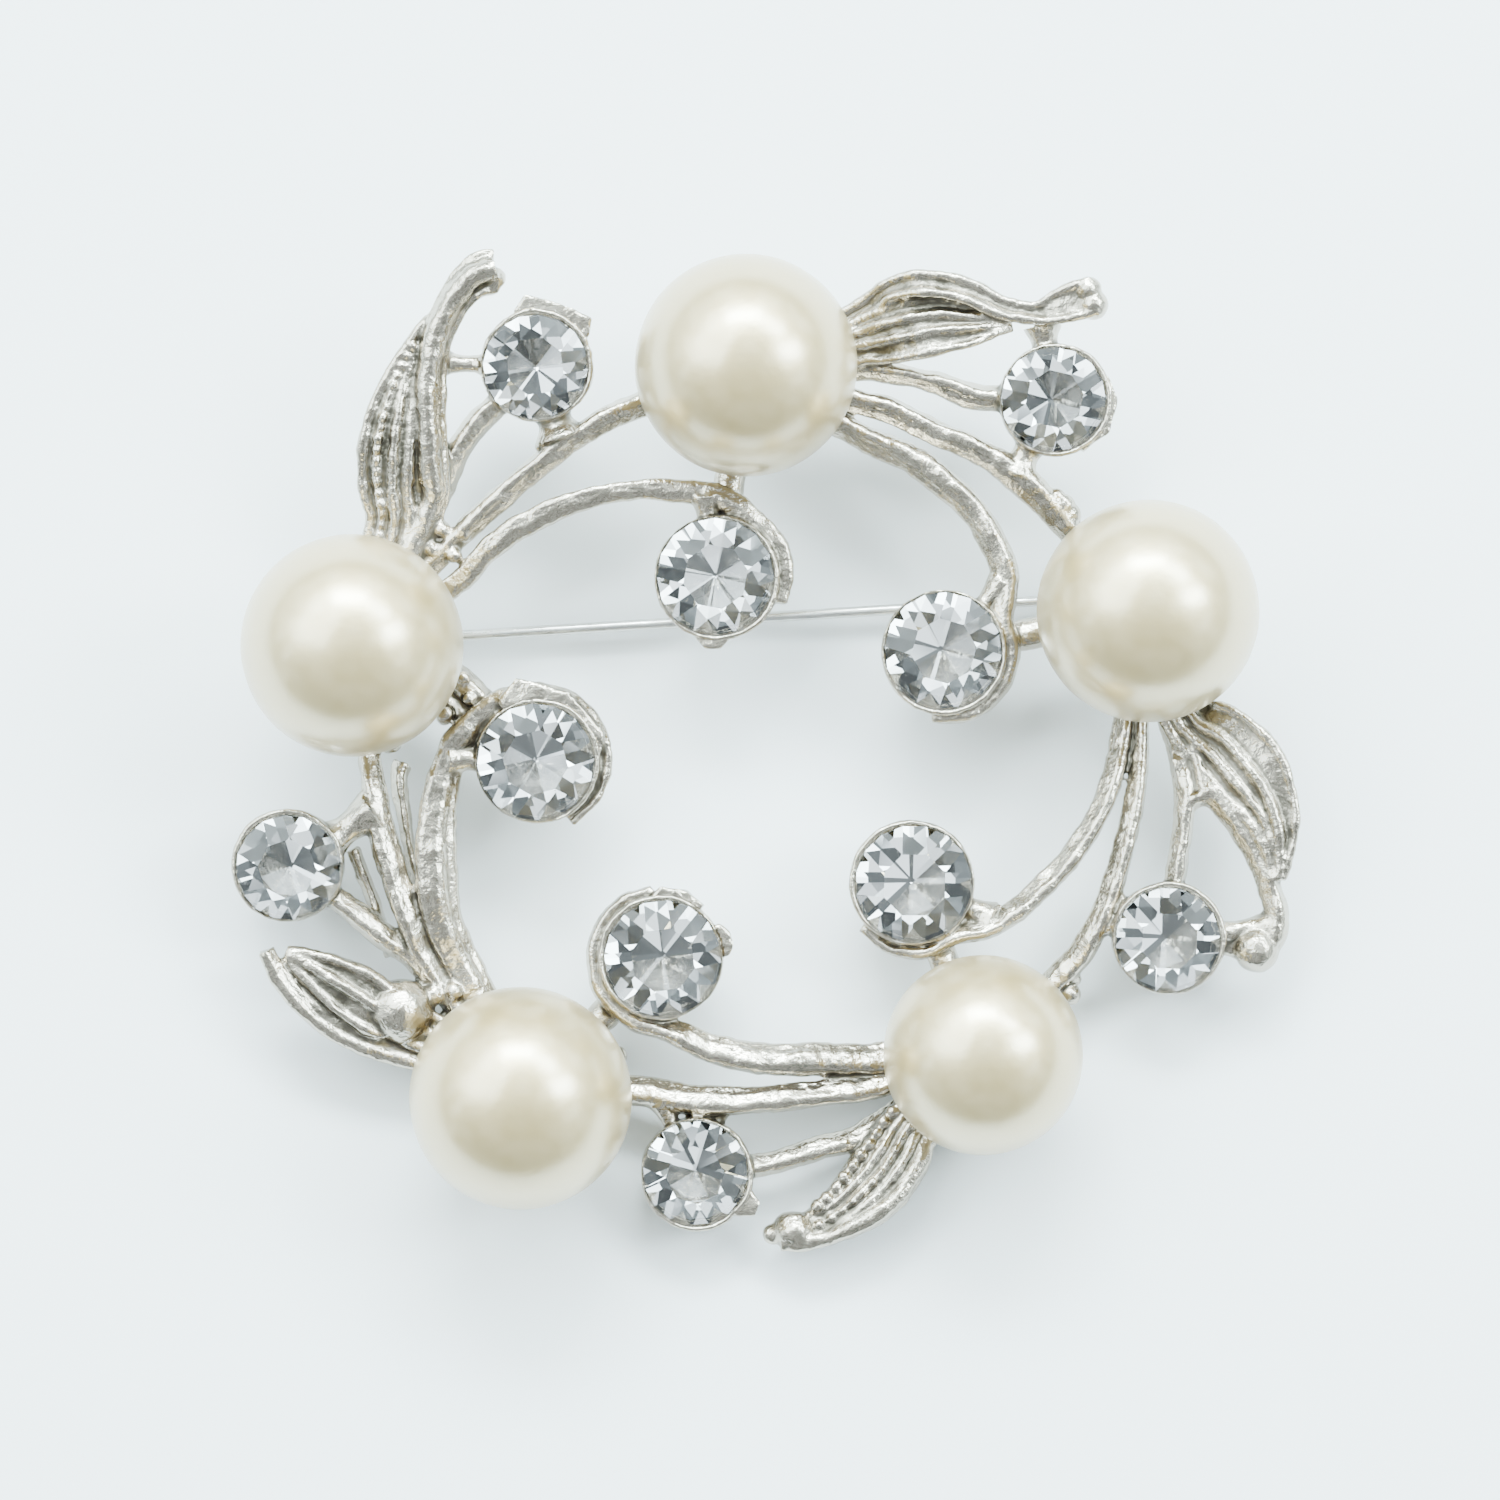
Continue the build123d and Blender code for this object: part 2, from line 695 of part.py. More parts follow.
def peg(place):
    """The peg that stands in a pearl's drilled hole."""
    return Pos(*at(place)) * extrude(Circle(peg_diameter / 2), cup_floor + peg_height)


def casting():
    """The whole metal frame as one solid."""
    solids = []
    for spray in sprays:
        solids += spray_metal(spray)
    solids.append(stem(None, lobe_rows, None))
    solids.append(ball(bud_place, bud_lift, bud_radius))
    solids.append(ball(dome_place, dome_lift, dome_radius))
    solids += hinge_bracket()
    solids.append(catch())
    first, *others = solids
    metal = first.fuse(*others).cut(*hollows())
    return metal.fuse(*[peg(place) for place in pearl_places.values()])


def resting_plane():
    """The plane that the brooch lies on: it touches one hinge ear, one catch lip and one low setting."""
    lateral = eye_width / 2 + ear_side_gap + ear_thickness
    down = Vector(0, 0, -1)
    ear_foot = hinge_point - hinge_axis * lateral + down * (ear_diameter / 2)
    lip = sqrt((catch_outer_diameter / 2) ** 2 - (catch_mouth / 2) ** 2)
    lip_foot = catch_point - hinge_axis * (catch_mouth / 2) + down * lip
    low_setting = at(sprays[2].outer_stone)
    foot_radius = setting_foot_share * setting_radius(outer_stone_diameter)
    low_foot = low_setting - Vector(0, foot_radius, 0)
    up = (lip_foot - ear_foot).cross(low_foot - ear_foot)
    if up.Z < 0:
        up = up * -1
    return Plane(origin=low_foot, x_dir=Vector(0, 1, 0).cross(up), z_dir=up)


def lay_down(nodes):
    """Every node laid on the ground, with the origin under the middle of the whole brooch."""
    ground = resting_plane()
    laid = {name: ground.to_local_coords(solid) for name, solid in nodes.items()}
    boxes = [solid.bounding_box() for solid in laid.values()]
    low = Vector(*[min(tuple(box.min)[i] for box in boxes) for i in range(3)])
    high = Vector(*[max(tuple(box.max)[i] for box in boxes) for i in range(3)])
    under = Vector((low.X + high.X) / 2, (low.Y + high.Y) / 2, low.Z)
    return {name: solid.moved(Location(under * -1)) for name, solid in laid.items()}


nodes = {"wreath_frame": casting(), "pin_stem": pin(), "hinge_rivet": rivet()}
for spray in sprays:
    nodes[f"pearl_{spray.pearl}"] = pearl(pearl_places[spray.pearl], spray.pearl_size)
    nodes[f"inner_stone_{spray.pearl}"] = stone(spray.inner_stone, inner_stone_diameter)
    nodes[f"outer_stone_{spray.pearl}"] = stone(spray.outer_stone, outer_stone_diameter)

for name, solid in lay_down(nodes).items():
    export_step(solid, f"parts/{name}.step")
    print(name, len(solid.solids()), round(solid.volume, 2))
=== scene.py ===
"""Looks of a wreath brooch: cast silver sprays, pearls, cut stones and a hinged pin, round its solids."""

from __future__ import annotations

import logging
from dataclasses import dataclass, field
from enum import Enum
from math import atan2, cos, pi, radians, sin, sqrt
from typing import NamedTuple, Sequence

import bmesh
import bpy
import numpy as np
from mathutils import Matrix, Vector, noise

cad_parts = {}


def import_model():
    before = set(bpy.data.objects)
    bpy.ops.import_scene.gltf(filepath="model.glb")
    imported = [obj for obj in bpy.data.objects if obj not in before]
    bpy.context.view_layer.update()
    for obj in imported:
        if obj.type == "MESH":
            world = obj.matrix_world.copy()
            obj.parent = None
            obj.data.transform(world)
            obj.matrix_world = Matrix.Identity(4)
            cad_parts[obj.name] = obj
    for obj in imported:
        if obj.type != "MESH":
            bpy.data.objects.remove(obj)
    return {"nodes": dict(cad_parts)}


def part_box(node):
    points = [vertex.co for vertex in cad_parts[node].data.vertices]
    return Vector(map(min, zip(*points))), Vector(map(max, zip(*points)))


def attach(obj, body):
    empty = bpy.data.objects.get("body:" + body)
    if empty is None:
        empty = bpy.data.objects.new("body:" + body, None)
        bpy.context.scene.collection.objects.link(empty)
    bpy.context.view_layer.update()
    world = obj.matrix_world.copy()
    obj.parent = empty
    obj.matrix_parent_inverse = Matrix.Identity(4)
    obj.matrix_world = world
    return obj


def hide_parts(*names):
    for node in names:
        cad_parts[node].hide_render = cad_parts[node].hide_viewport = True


log = logging.getLogger("wreath")

Triple = tuple[float, float, float]
Colour = tuple[float, float, float, float]

# Sizes of the real brooch in millimetres, in the plane that the wreath is cast in
WREATH_RADIUS = 18.2
BRANCH_RISE = 2.0
CUP_FLOOR = 0.6
CUP_RADIUS = 3.0
CUP_HEIGHT = 1.5
PEARL_GAP = 0.05
PEARL_DIAMETER = 10.0
SMALL_PEARL_DIAMETER = 9.0
INNER_STONE_DIAMETER = 5.3
OUTER_STONE_DIAMETER = 4.75
STEM_WIDTH = 1.15
LEAF_WIDTH = 3.4
STONE_GAP = 0.04
SETTING_WALL = 0.21
SETTING_FLOOR = 0.45
SETTING_LIP = 0.14
MM = 0.001
NOUGHT = 1e-6


class Place(NamedTuple):
    """A spot on the face, in shares of the wreath's radius."""

    x: float
    y: float


class Row(NamedTuple):
    """A spot on a stem: place, lift in shares of the branch rise, and width in shares of a stem's."""

    x: float
    y: float
    lift: float
    width: float


class LeafRow(NamedTuple):
    """A spot on a leaf's midline: place, lift, width in shares of a leaf's, and roll in degrees."""

    x: float
    y: float
    lift: float
    width: float
    roll: float


class Wire(NamedTuple):
    """A raised wire cast on a stem: offset to its left and up, and radius, in millimetres."""

    side: float
    rise: float
    radius: float


class Wrap(NamedTuple):
    """A stem's end that hugs a setting: first and last bearing in degrees, and its width at the end."""

    first: float
    last: float
    width: float


class Link(NamedTuple):
    """A short bar from a spot to a setting's wall."""

    x: float
    y: float
    lift: float
    width: float


class Nub(NamedTuple):
    """A small cast lump: place, lift in shares of the branch rise, radius in millimetres."""

    x: float
    y: float
    lift: float
    radius: float


class FlapCorner(NamedTuple):
    """A corner of a setting's flap: bearing in degrees and reach in shares of the rim."""

    turn: float
    reach: float


class Side(Enum):
    """The two rings of stones."""

    INNER = "inner"
    OUTER = "outer"


PEARL_PLACES = {
    1: Place(-0.01, 0.96),
    2: Place(0.98, 0.355),
    3: Place(-0.98, 0.27),
    4: Place(-0.565, -0.845),
    5: Place(0.575, -0.74),
}


def upward(height: float) -> Vector:
    """Return a step straight up from the face."""
    return Vector((0.0, 0.0, height))


def polar(reach: float, turn: float, height: float = 0.0) -> Vector:
    """Return the step from an axis that has a reach, a bearing in radians and a height."""
    return Vector((reach * cos(turn), reach * sin(turn), height))


def face_point(place: Place | Row | LeafRow | Link | Nub, lift: float = 0.0) -> Vector:
    """Return a place on the face, in millimetres, at a lift in shares of the branch rise."""
    return Vector((place.x * WREATH_RADIUS, place.y * WREATH_RADIUS, lift * BRANCH_RISE))


def toward(start: Vector, end: Vector, distance: float) -> Vector:
    """Return the point at a distance from start on the level line to end."""
    return start + Vector((end.x - start.x, end.y - start.y, 0.0)).normalized() * distance


def between(values: Sequence[float], t: float) -> float:
    """Find a value on a smooth line through four numbers.

    Args:
        values: The numbers.
        t: How far the value lies from the second to the third, from nought to one.

    Returns:
        The value.
    """
    a, b, c, d = values
    bend, twist = 2 * a - 5 * b + 4 * c - d, 3 * b - a - 3 * c + d
    return 0.5 * (2 * b + (c - a) * t + bend * t * t + twist * t**3)


def catmull(points: Sequence[Sequence[float]], per_row: int) -> list[list[float]]:
    """Run a smooth line through rows of numbers.

    Args:
        points: The rows, each of the same length.
        per_row: How many steps to take from a row to the next.

    Returns:
        The rows of the smooth line, the last row included.
    """
    rows = [list(point) for point in points]
    rows = [rows[0]] + rows + [rows[-1]]
    result = []
    for i in range(1, len(rows) - 2):
        columns = list(zip(*rows[i - 1 : i + 3]))
        result += [[between(column, step / per_row) for column in columns] for step in range(per_row)]
    result.append(rows[-2])
    return result


@dataclass(frozen=True)
class Face:
    """The plane that the wreath is cast in, found from where its pearls stand."""

    to_row: Matrix

    @classmethod
    def from_pearls(cls) -> "Face":
        """Fit the face to the pearls' boxes.

        Returns:
            The face, with the matrix from its millimetres to the row frame's metres.
        """
        centres = {number: sum(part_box(f"pearl_{number}"), Vector()) / 2 for number in (1, 2, 3)}
        across = centres[2] - centres[3]
        up = across.cross(centres[1] - centres[3]).normalized()
        known = face_point(PEARL_PLACES[2]) - face_point(PEARL_PLACES[3])
        right = Matrix.Rotation(-atan2(known.y, known.x), 3, up) @ across.normalized()
        top = up.cross(right)
        first = face_point(PEARL_PLACES[1]) + upward(CUP_FLOOR + PEARL_GAP + PEARL_DIAMETER / 2)
        origin = centres[1] - (right * first.x + top * first.y + up * first.z) * MM
        turn = Matrix((right, top, up)).transposed().to_4x4()
        return cls(Matrix.Translation(origin) @ turn @ Matrix.Scale(MM, 4))

    def spot(self, point: Vector) -> Vector:
        """Return a point of the face, in millimetres, as a point of the row frame in metres."""
        return self.to_row @ point

    def turned(self) -> Matrix:
        """Return the face's turn in the row frame without its scale or place."""
        return self.to_row.to_3x3().normalized().to_4x4()


class Sock:
    """A node's socket that Python's operators work on."""

    def __init__(self, board: "Board", socket: bpy.types.NodeSocket) -> None:
        """Keep the board that new nodes go on, and the socket."""
        self.board = board
        self.socket = socket

    def maths(self, operation: str, *others: "Sock | float") -> "Sock":
        """Return the result of a Math node on this socket and others."""
        return self.board.add("ShaderNodeMath", dict(enumerate((self, *others))), operation=operation)

    def __add__(self, other: "Sock | float") -> "Sock":
        """Return this plus other."""
        return self.maths("ADD", other)

    __radd__ = __add__

    def __mul__(self, other: "Sock | float") -> "Sock":
        """Return this times other."""
        return self.maths("MULTIPLY", other)

    __rmul__ = __mul__

    def __sub__(self, other: "Sock | float") -> "Sock":
        """Return this minus other."""
        return self.maths("SUBTRACT", other)

    def __rsub__(self, other: float) -> "Sock":
        """Return other minus this."""
        return self.board.add("ShaderNodeMath", {0: other, 1: self}, operation="SUBTRACT")

    def __truediv__(self, other: "Sock | float") -> "Sock":
        """Return this divided by other."""
        return self.maths("DIVIDE", other)

    def clamped(self) -> "Sock":
        """Return this held between nought and one."""
        return self.board.add("ShaderNodeClamp", {0: self})


class Board:
    """A tree of nodes, filled one node at a time."""

    def __init__(self, tree: bpy.types.NodeTree) -> None:
        """Clear the tree that new nodes go in."""
        self.tree = tree
        self.tree.nodes.clear()

    def add(
        self, kind: str, inputs: dict[int | str, object], output: int | str = 0, **settings: object
    ) -> Sock:
        """Add a node.

        Args:
            kind: The node's type.
            inputs: A value or a link for each socket, by place or name.
            output: Which of its outputs to return.
            settings: Properties, set before the inputs.

        Returns:
            The chosen output.
        """
        node = self.tree.nodes.new(kind)
        for key, value in settings.items():
            setattr(node, key, value)
        for key, value in inputs.items():
            if isinstance(value, Sock):
                self.tree.links.new(value.socket, node.inputs[key])
            else:
                node.inputs[key].default_value = value
        return Sock(self, node.outputs[output])

    def end(self, kind: str, last: Sock) -> None:
        """Link the last node to an output node."""
        self.tree.links.new(last.socket, self.tree.nodes.new(kind).inputs[0])


class Coat(Board):
    """The nodes of one material."""

    def __init__(self, name: str) -> None:
        """Start a material.

        Args:
            name: Its name.
        """
        self.material = bpy.data.materials.new(name)
        self.material.use_nodes = True
        super().__init__(self.material.node_tree)

    def place(self) -> Sock:
        """Return the object coordinates."""
        return self.add("ShaderNodeTexCoord", {}, "Object")

    def noise(self, scale: float, detail: float = 3.0, roughness: float = 0.55) -> Sock:
        """Return a noise over the object, with its scale in repeats a metre."""
        inputs = {"Vector": self.place(), "Scale": scale, "Detail": detail, "Roughness": roughness}
        return self.add("ShaderNodeTexNoise", inputs, "Fac")

    def attribute(self, name: str) -> Sock:
        """Return a number stored on the mesh."""
        return self.add("ShaderNodeAttribute", {}, "Fac", attribute_name=name)

    def mix(self, factor: Sock | float, low: object, high: object) -> Sock:
        """Return a mix of two colours."""
        return self.add("ShaderNodeMix", {0: factor, 6: low, 7: high}, 2, data_type="RGBA")

    def bump(self, height: Sock, distance: float) -> Sock:
        """Return a normal roughened by a height, with its distance in metres."""
        return self.add("ShaderNodeBump", {"Height": height, "Distance": distance, "Strength": 1.0}, "Normal")

    def finish(self, **sockets: object) -> bpy.types.Material:
        """Add the shader.

        Args:
            sockets: A value or a link for each of its sockets, spaces written as underscores.

        Returns:
            The finished material.
        """
        inputs = {name.replace("_", " "): value for name, value in sockets.items()}
        self.end("ShaderNodeOutputMaterial", self.add("ShaderNodeBsdfPrincipled", inputs))
        return self.material


@dataclass(frozen=True)
class CastSilver:
    """Bright silver plating over an uneven casting, darker in its hollows by painted shade that partly stands
    for antiquing tarnish, and in random tarnish patches.
    """

    name: str = "cast_silver"
    bright: Colour = (0.50, 0.45, 0.375, 1.0)
    # The dark colour is painted shade in the hollows, partly antiquing tarnish, and the tarnish of the random
    # patches; the weight after it sets the hollows' painted shade.
    dark: Colour = (0.065, 0.058, 0.045, 1.0)
    hollow_shade_and_tarnish: float = 0.8
    patch_dark: float = 0.75
    patch_middle: float = 0.45
    patch_scale: float = 260.0
    polish: float = 0.10
    mottle: float = 0.18
    mottle_scale: float = 900.0
    hollow_dull: float = 0.18
    coarse_scale: float = 1500.0
    fine_scale: float = 5200.0
    relief: float = 0.00012

    def material(self) -> bpy.types.Material:
        """Build the finish.

        Returns:
            Its material.
        """
        board = Coat(self.name)
        hollow = board.attribute("hollow").clamped()
        patches = board.noise(self.patch_scale, 2.0) - self.patch_middle
        # Painted shade in the hollows, partly standing for antiquing tarnish, plus random tarnish patches.
        shade_and_tarnish = (hollow * self.hollow_shade_and_tarnish + patches * self.patch_dark).clamped()
        mottle = board.noise(self.mottle_scale, 4.0)
        height = board.noise(self.coarse_scale) * 0.6 + board.noise(self.fine_scale, 2.0) * 0.3
        return board.finish(
            Base_Color=board.mix(shade_and_tarnish, self.bright, self.dark),
            Metallic=1.0,
            Roughness=self.polish + self.mottle * mottle + self.hollow_dull * hollow,
            Normal=board.bump(height, self.relief),
        )


@dataclass(frozen=True)
class PolishedWire:
    """Drawn steel wire with faint lengthwise scratches."""

    name: str = "polished_wire"
    tone: Colour = (0.72, 0.72, 0.72, 1.0)
    smear: Colour = (0.5904, 0.5688, 0.5328, 1.0)
    smear_scale: float = 400.0
    scratch_scale: float = 9000.0
    stretch: Triple = (0.06, 1.0, 1.0)
    relief: float = 0.00001

    def material(self) -> bpy.types.Material:
        """Build the finish.

        Returns:
            Its material.
        """
        board = Coat(self.name)
        stretched = board.add("ShaderNodeMapping", {"Vector": board.place(), "Scale": self.stretch})
        scratches = {"Vector": stretched, "Scale": self.scratch_scale, "Detail": 2.0}
        lines = board.add("ShaderNodeTexNoise", scratches, "Fac")
        return board.finish(
            Base_Color=board.mix(board.noise(self.smear_scale, 2.0), self.tone, self.smear),
            Metallic=1.0,
            Roughness=0.2 + 0.15 * lines,
            Normal=board.bump(lines, self.relief),
        )


@dataclass(frozen=True)
class Nacre:
    """Cream pearl lacquer: a soft deep lustre under a glossy coat."""

    name: str = "nacre"
    light: Colour = (0.585, 0.455, 0.215, 1.0)
    warm: Colour = (0.525, 0.385, 0.15, 1.0)
    cloud_scale: float = 130.0
    speck_scale: float = 2600.0
    relief: float = 0.000012

    def material(self) -> bpy.types.Material:
        """Build the finish.

        Returns:
            Its material.
        """
        board = Coat(self.name)
        cloud = board.noise(self.cloud_scale, 2.0, 0.5)
        speck = board.noise(self.speck_scale, 2.0, 0.5)
        return board.finish(
            Base_Color=board.mix((cloud * 1.6 - 0.3).clamped(), self.light, self.warm),
            Metallic=0.6,
            Roughness=0.33 + 0.06 * speck,
            Coat_Weight=1.0,
            Coat_Roughness=0.25,
            Coat_IOR=2.4,
            Normal=board.bump(speck + cloud * 3.0, self.relief),
        )


@dataclass(frozen=True)
class CutGlass:
    """Clear crown glass of a stone."""

    name: str = "cut_glass"
    tint: Colour = (0.965, 0.98, 1.0, 1.0)
    deep: Colour = (0.94, 0.965, 1.0, 1.0)
    haze_scale: float = 700.0

    def material(self) -> bpy.types.Material:
        """Build the finish.

        Returns:
            Its material.
        """
        board = Coat(self.name)
        haze = board.noise(self.haze_scale, 2.0)
        return board.finish(
            Base_Color=board.mix(haze, self.tint, self.deep),
            Roughness=0.001 + 0.003 * haze,
            IOR=1.56,
            Transmission_Weight=1.0,
        )


@dataclass(frozen=True)
class Foil:
    """The silvered back of a stone."""

    name: str = "stone_foil"
    tint: Colour = (0.92, 0.95, 1.0, 1.0)
    deep: Colour = (0.86, 0.91, 0.98, 1.0)
    wrinkle_scale: float = 1100.0

    def material(self) -> bpy.types.Material:
        """Build the finish.

        Returns:
            Its material.
        """
        board = Coat(self.name)
        wrinkle = board.noise(self.wrinkle_scale)
        return board.finish(
            Base_Color=board.mix(wrinkle, self.tint, self.deep),
            Metallic=0.82,
            Roughness=0.05 + 0.12 * wrinkle,
        )


@dataclass(frozen=True)
class PaleTable:
    """The pale sheet that the brooch lies on."""

    name: str = "pale_table"
    tone: Colour = (0.80, 0.835, 0.86, 1.0)
    shade: Colour = (0.768, 0.8016, 0.8256, 1.0)
    cloud_scale: float = 9.0

    def material(self) -> bpy.types.Material:
        """Build the finish.

        Returns:
            Its material.
        """
        board = Coat(self.name)
        cloud = board.noise(self.cloud_scale, 2.0)
        return board.finish(Base_Color=board.mix(cloud, self.tone, self.shade), Roughness=0.75 + 0.1 * cloud)


class Finishes(NamedTuple):
    """The materials that the pieces share."""

    silver: bpy.types.Material
    wire: bpy.types.Material
    nacre: bpy.types.Material
    glass: bpy.types.Material
    foil: bpy.types.Material

    @classmethod
    def make(cls) -> "Finishes":
        """Build each finish once."""
        return cls(*(kind().material() for kind in (CastSilver, PolishedWire, Nacre, CutGlass, Foil)))


def placed(name: str, data: bpy.types.ID) -> bpy.types.Object:
    """Put data into the scene.

    Args:
        name: The name of its object.
        data: A mesh, curve, light or camera.

    Returns:
        The object.
    """
    made = bpy.data.objects.new(name, data)
    bpy.context.scene.collection.objects.link(made)
    return made


def harvest(carrier: bpy.types.Object) -> bpy.types.Mesh:
    """Take what an object's modifiers make, and throw the object and its modifiers away.

    Args:
        carrier: The object.

    Returns:
        The plain mesh that comes out.
    """
    bpy.context.view_layer.update()
    graph = bpy.context.evaluated_depsgraph_get()
    mesh = bpy.data.meshes.new_from_object(carrier.evaluated_get(graph))
    carrier.modifiers.clear()
    bpy.data.objects.remove(carrier)
    return mesh


class Tree(Board):
    """A Geometry Nodes tree with named inputs."""

    def __init__(self, name: str, sizes: dict[str, float | int]) -> None:
        """Start a tree.

        Args:
            name: The tree's name.
            sizes: Each named input with its default; the material is one more.
        """
        super().__init__(bpy.data.node_groups.new(name, "GeometryNodeTree"))
        face = self.tree.interface
        face.new_socket("Geometry", in_out="INPUT", socket_type="NodeSocketGeometry")
        face.new_socket("Geometry", in_out="OUTPUT", socket_type="NodeSocketGeometry")
        self.identifiers: dict[str, str] = {}
        for label, default in {**sizes, "Material": None}.items():
            kind = {float: "Float", int: "Int"}.get(type(default), "Material")
            socket = face.new_socket(label, in_out="INPUT", socket_type=f"NodeSocket{kind}")
            if default is not None:
                socket.default_value = default
            self.identifiers[label] = socket.identifier
        self.entry = self.tree.nodes.new("NodeGroupInput")

    def given(self, label: str) -> Sock:
        """Return a named input."""
        return Sock(self, self.entry.outputs[label])

    def rippled(self, geometry: Sock, scale: str, size: str) -> Sock:
        """Push a surface in and out by a noise.

        Args:
            geometry: The surface.
            scale: The named input with the noise's scale.
            size: The named input with the noise's height.

        Returns:
            The uneven surface.
        """
        where = self.add("GeometryNodeInputPosition", {})
        noise_inputs = {"Vector": where, "W": self.given("Seed"), "Scale": self.given(scale), "Detail": 2.0}
        ripple = self.add("ShaderNodeTexNoise", noise_inputs, noise_dimensions="4D")
        normal = self.add("GeometryNodeInputNormal", {})
        push = {0: normal, "Scale": (ripple - 0.5) * self.given(size)}
        step = self.add("ShaderNodeVectorMath", push, operation="SCALE")
        return self.add("GeometryNodeSetPosition", {"Geometry": geometry, "Offset": step})

    def close(self, geometry: Sock) -> None:
        """End the tree in real geometry with its material set.

        Args:
            geometry: What the tree has made.
        """
        real = self.add("GeometryNodeRealizeInstances", {"Geometry": geometry})
        dress = {"Geometry": real, "Material": self.given("Material")}
        self.end("NodeGroupOutput", self.add("GeometryNodeSetMaterial", dress))

    def run(self, source: bpy.types.ID, **values: object) -> bpy.types.Mesh:
        """Run the tree on a curve or mesh.

        Args:
            source: The curve or mesh data that it works on.
            values: A value for each named input that isn't left at its default.

        Returns:
            The plain mesh that comes out.
        """
        carrier = placed("carrier", source)
        modifier = carrier.modifiers.new("tree", "NODES")
        modifier.node_group = self.tree
        for label, value in values.items():
            modifier[self.identifiers[label]] = value
        return harvest(carrier)


class StrandTree(Tree):
    """Runs a bumpy cast strand, round on top and flat below, along each line of a curve."""

    def __init__(self) -> None:
        """Build the tree."""
        sizes = {"Step": 0.12, "Bump Size": 0.06, "Bump Scale": 1.1, "Back": 0.5, "Seed": 0.0}
        super().__init__("cast_strands", sizes)
        smooth = self.add(
            "GeometryNodeCurveSplineType", {0: self.given("Geometry")}, spline_type="CATMULL_ROM"
        )
        steps = {"Curve": smooth, "Length": self.given("Step")}
        dense = self.add("GeometryNodeResampleCurve", steps, mode="LENGTH")
        upright = self.add("GeometryNodeSetCurveNormal", {"Curve": dense}, mode="Z_UP")
        circle = self.add("GeometryNodeCurvePrimitiveCircle", {"Resolution": 14, "Radius": 1.0})
        where = self.add("GeometryNodeInputPosition", {})
        limit = self.add("ShaderNodeCombineXYZ", {0: 2.0, 1: self.given("Back"), 2: 2.0})
        flat = self.add("ShaderNodeVectorMath", {0: where, 1: limit}, operation="MINIMUM")
        profile = self.add("GeometryNodeSetPosition", {"Geometry": circle, "Position": flat})
        sweep = {"Curve": upright, "Profile Curve": profile, "Fill Caps": True}
        sweep["Scale"] = self.add("GeometryNodeInputRadius", {})
        self.close(self.rippled(self.add("GeometryNodeCurveToMesh", sweep), "Bump Scale", "Bump Size"))


class NubTree(Tree):
    """Sets small round lumps of uneven size on each vertex of a mesh."""

    def __init__(self) -> None:
        """Build the tree."""
        super().__init__("cast_nubs", {"Least": 0.8, "Most": 1.2, "Seed": 3})
        ball = self.add("GeometryNodeMeshIcoSphere", {"Radius": 1.0, "Subdivisions": 4})
        size = self.add("GeometryNodeInputNamedAttribute", {"Name": "size"}, data_type="FLOAT")
        draw = {2: self.given("Least"), 3: self.given("Most"), "Seed": self.given("Seed")}
        scale = size * self.add("FunctionNodeRandomValue", draw, 1, data_type="FLOAT")
        balls = {"Points": self.given("Geometry"), "Instance": ball, "Scale": scale}
        self.close(self.add("GeometryNodeInstanceOnPoints", balls))


class SkinTree(Tree):
    """Roughens a casting's skin and marks how deep each spot lies in a hollow, the mask of the silver's
    painted shade.
    """

    def __init__(self) -> None:
        """Build the tree."""
        sizes = {"Ripple": 0.34, "Ripple Scale": 0.85, "Depth": 0.06, "Steps": 24, "Seed": 0.0}
        super().__init__("cast_skin", sizes)
        rough = self.rippled(self.given("Geometry"), "Ripple Scale", "Ripple")
        where = self.add("GeometryNodeInputPosition", {})
        normal = self.add("GeometryNodeInputNormal", {})
        blur = {"Value": where, "Iterations": self.given("Steps")}
        blurred = self.add("GeometryNodeBlurAttribute", blur, data_type="FLOAT_VECTOR")
        gap = self.add("ShaderNodeVectorMath", {0: blurred, 1: where}, operation="SUBTRACT")
        depth = self.add("ShaderNodeVectorMath", {0: gap, 1: normal}, 1, operation="DOT_PRODUCT")
        mark = {"Geometry": rough, "Name": "hollow", "Value": depth / self.given("Depth")}
        self.close(self.add("GeometryNodeStoreNamedAttribute", mark, data_type="FLOAT", domain="POINT"))


class Station(NamedTuple):
    """A point of a line over the face, with the level direction to its left, the way up, and its sizes."""

    point: Vector
    left: Vector
    up: Vector
    sizes: list[float]


def stations(rows: Sequence[Sequence[float]], per_row: int = 5) -> list[Station]:
    """Walk a smooth line over the face.

    Args:
        rows: A row for each given point: x, y and z in millimetres, then any sizes.
        per_row: Steps from a row to the next.

    Returns:
        The stations in order.
    """
    line = catmull(rows, per_row)
    points = [Vector(row[:3]) for row in line]
    result = []
    for i, point in enumerate(points):
        heading = (points[min(i + 1, len(points) - 1)] - points[max(i - 1, 0)]).normalized()
        left = upward(1.0).cross(heading).normalized()
        result.append(Station(point, left, heading.cross(left).normalized(), line[i][3:]))
    return result


def settled(body: bmesh.types.BMesh, mesh: bpy.types.Mesh) -> bpy.types.Mesh:
    """Write an edited body into a mesh and free the body.

    Args:
        body: The body.
        mesh: The mesh that takes its shape.

    Returns:
        The mesh.
    """
    body.to_mesh(mesh)
    body.free()
    return mesh


def mesh_of(name: str, points: Sequence[Vector], faces: Sequence[Sequence[int]]) -> bpy.types.Mesh:
    """Make a mesh with its faces turned outwards.

    Args:
        name: The mesh's name.
        points: Its corners.
        faces: Rows of corner numbers.

    Returns:
        The mesh.
    """
    body = bmesh.new()
    corners = [body.verts.new(point) for point in points]
    for face in faces:
        body.faces.new([corners[i] for i in face])
    bmesh.ops.recalc_face_normals(body, faces=body.faces)
    return settled(body, bpy.data.meshes.new(name))


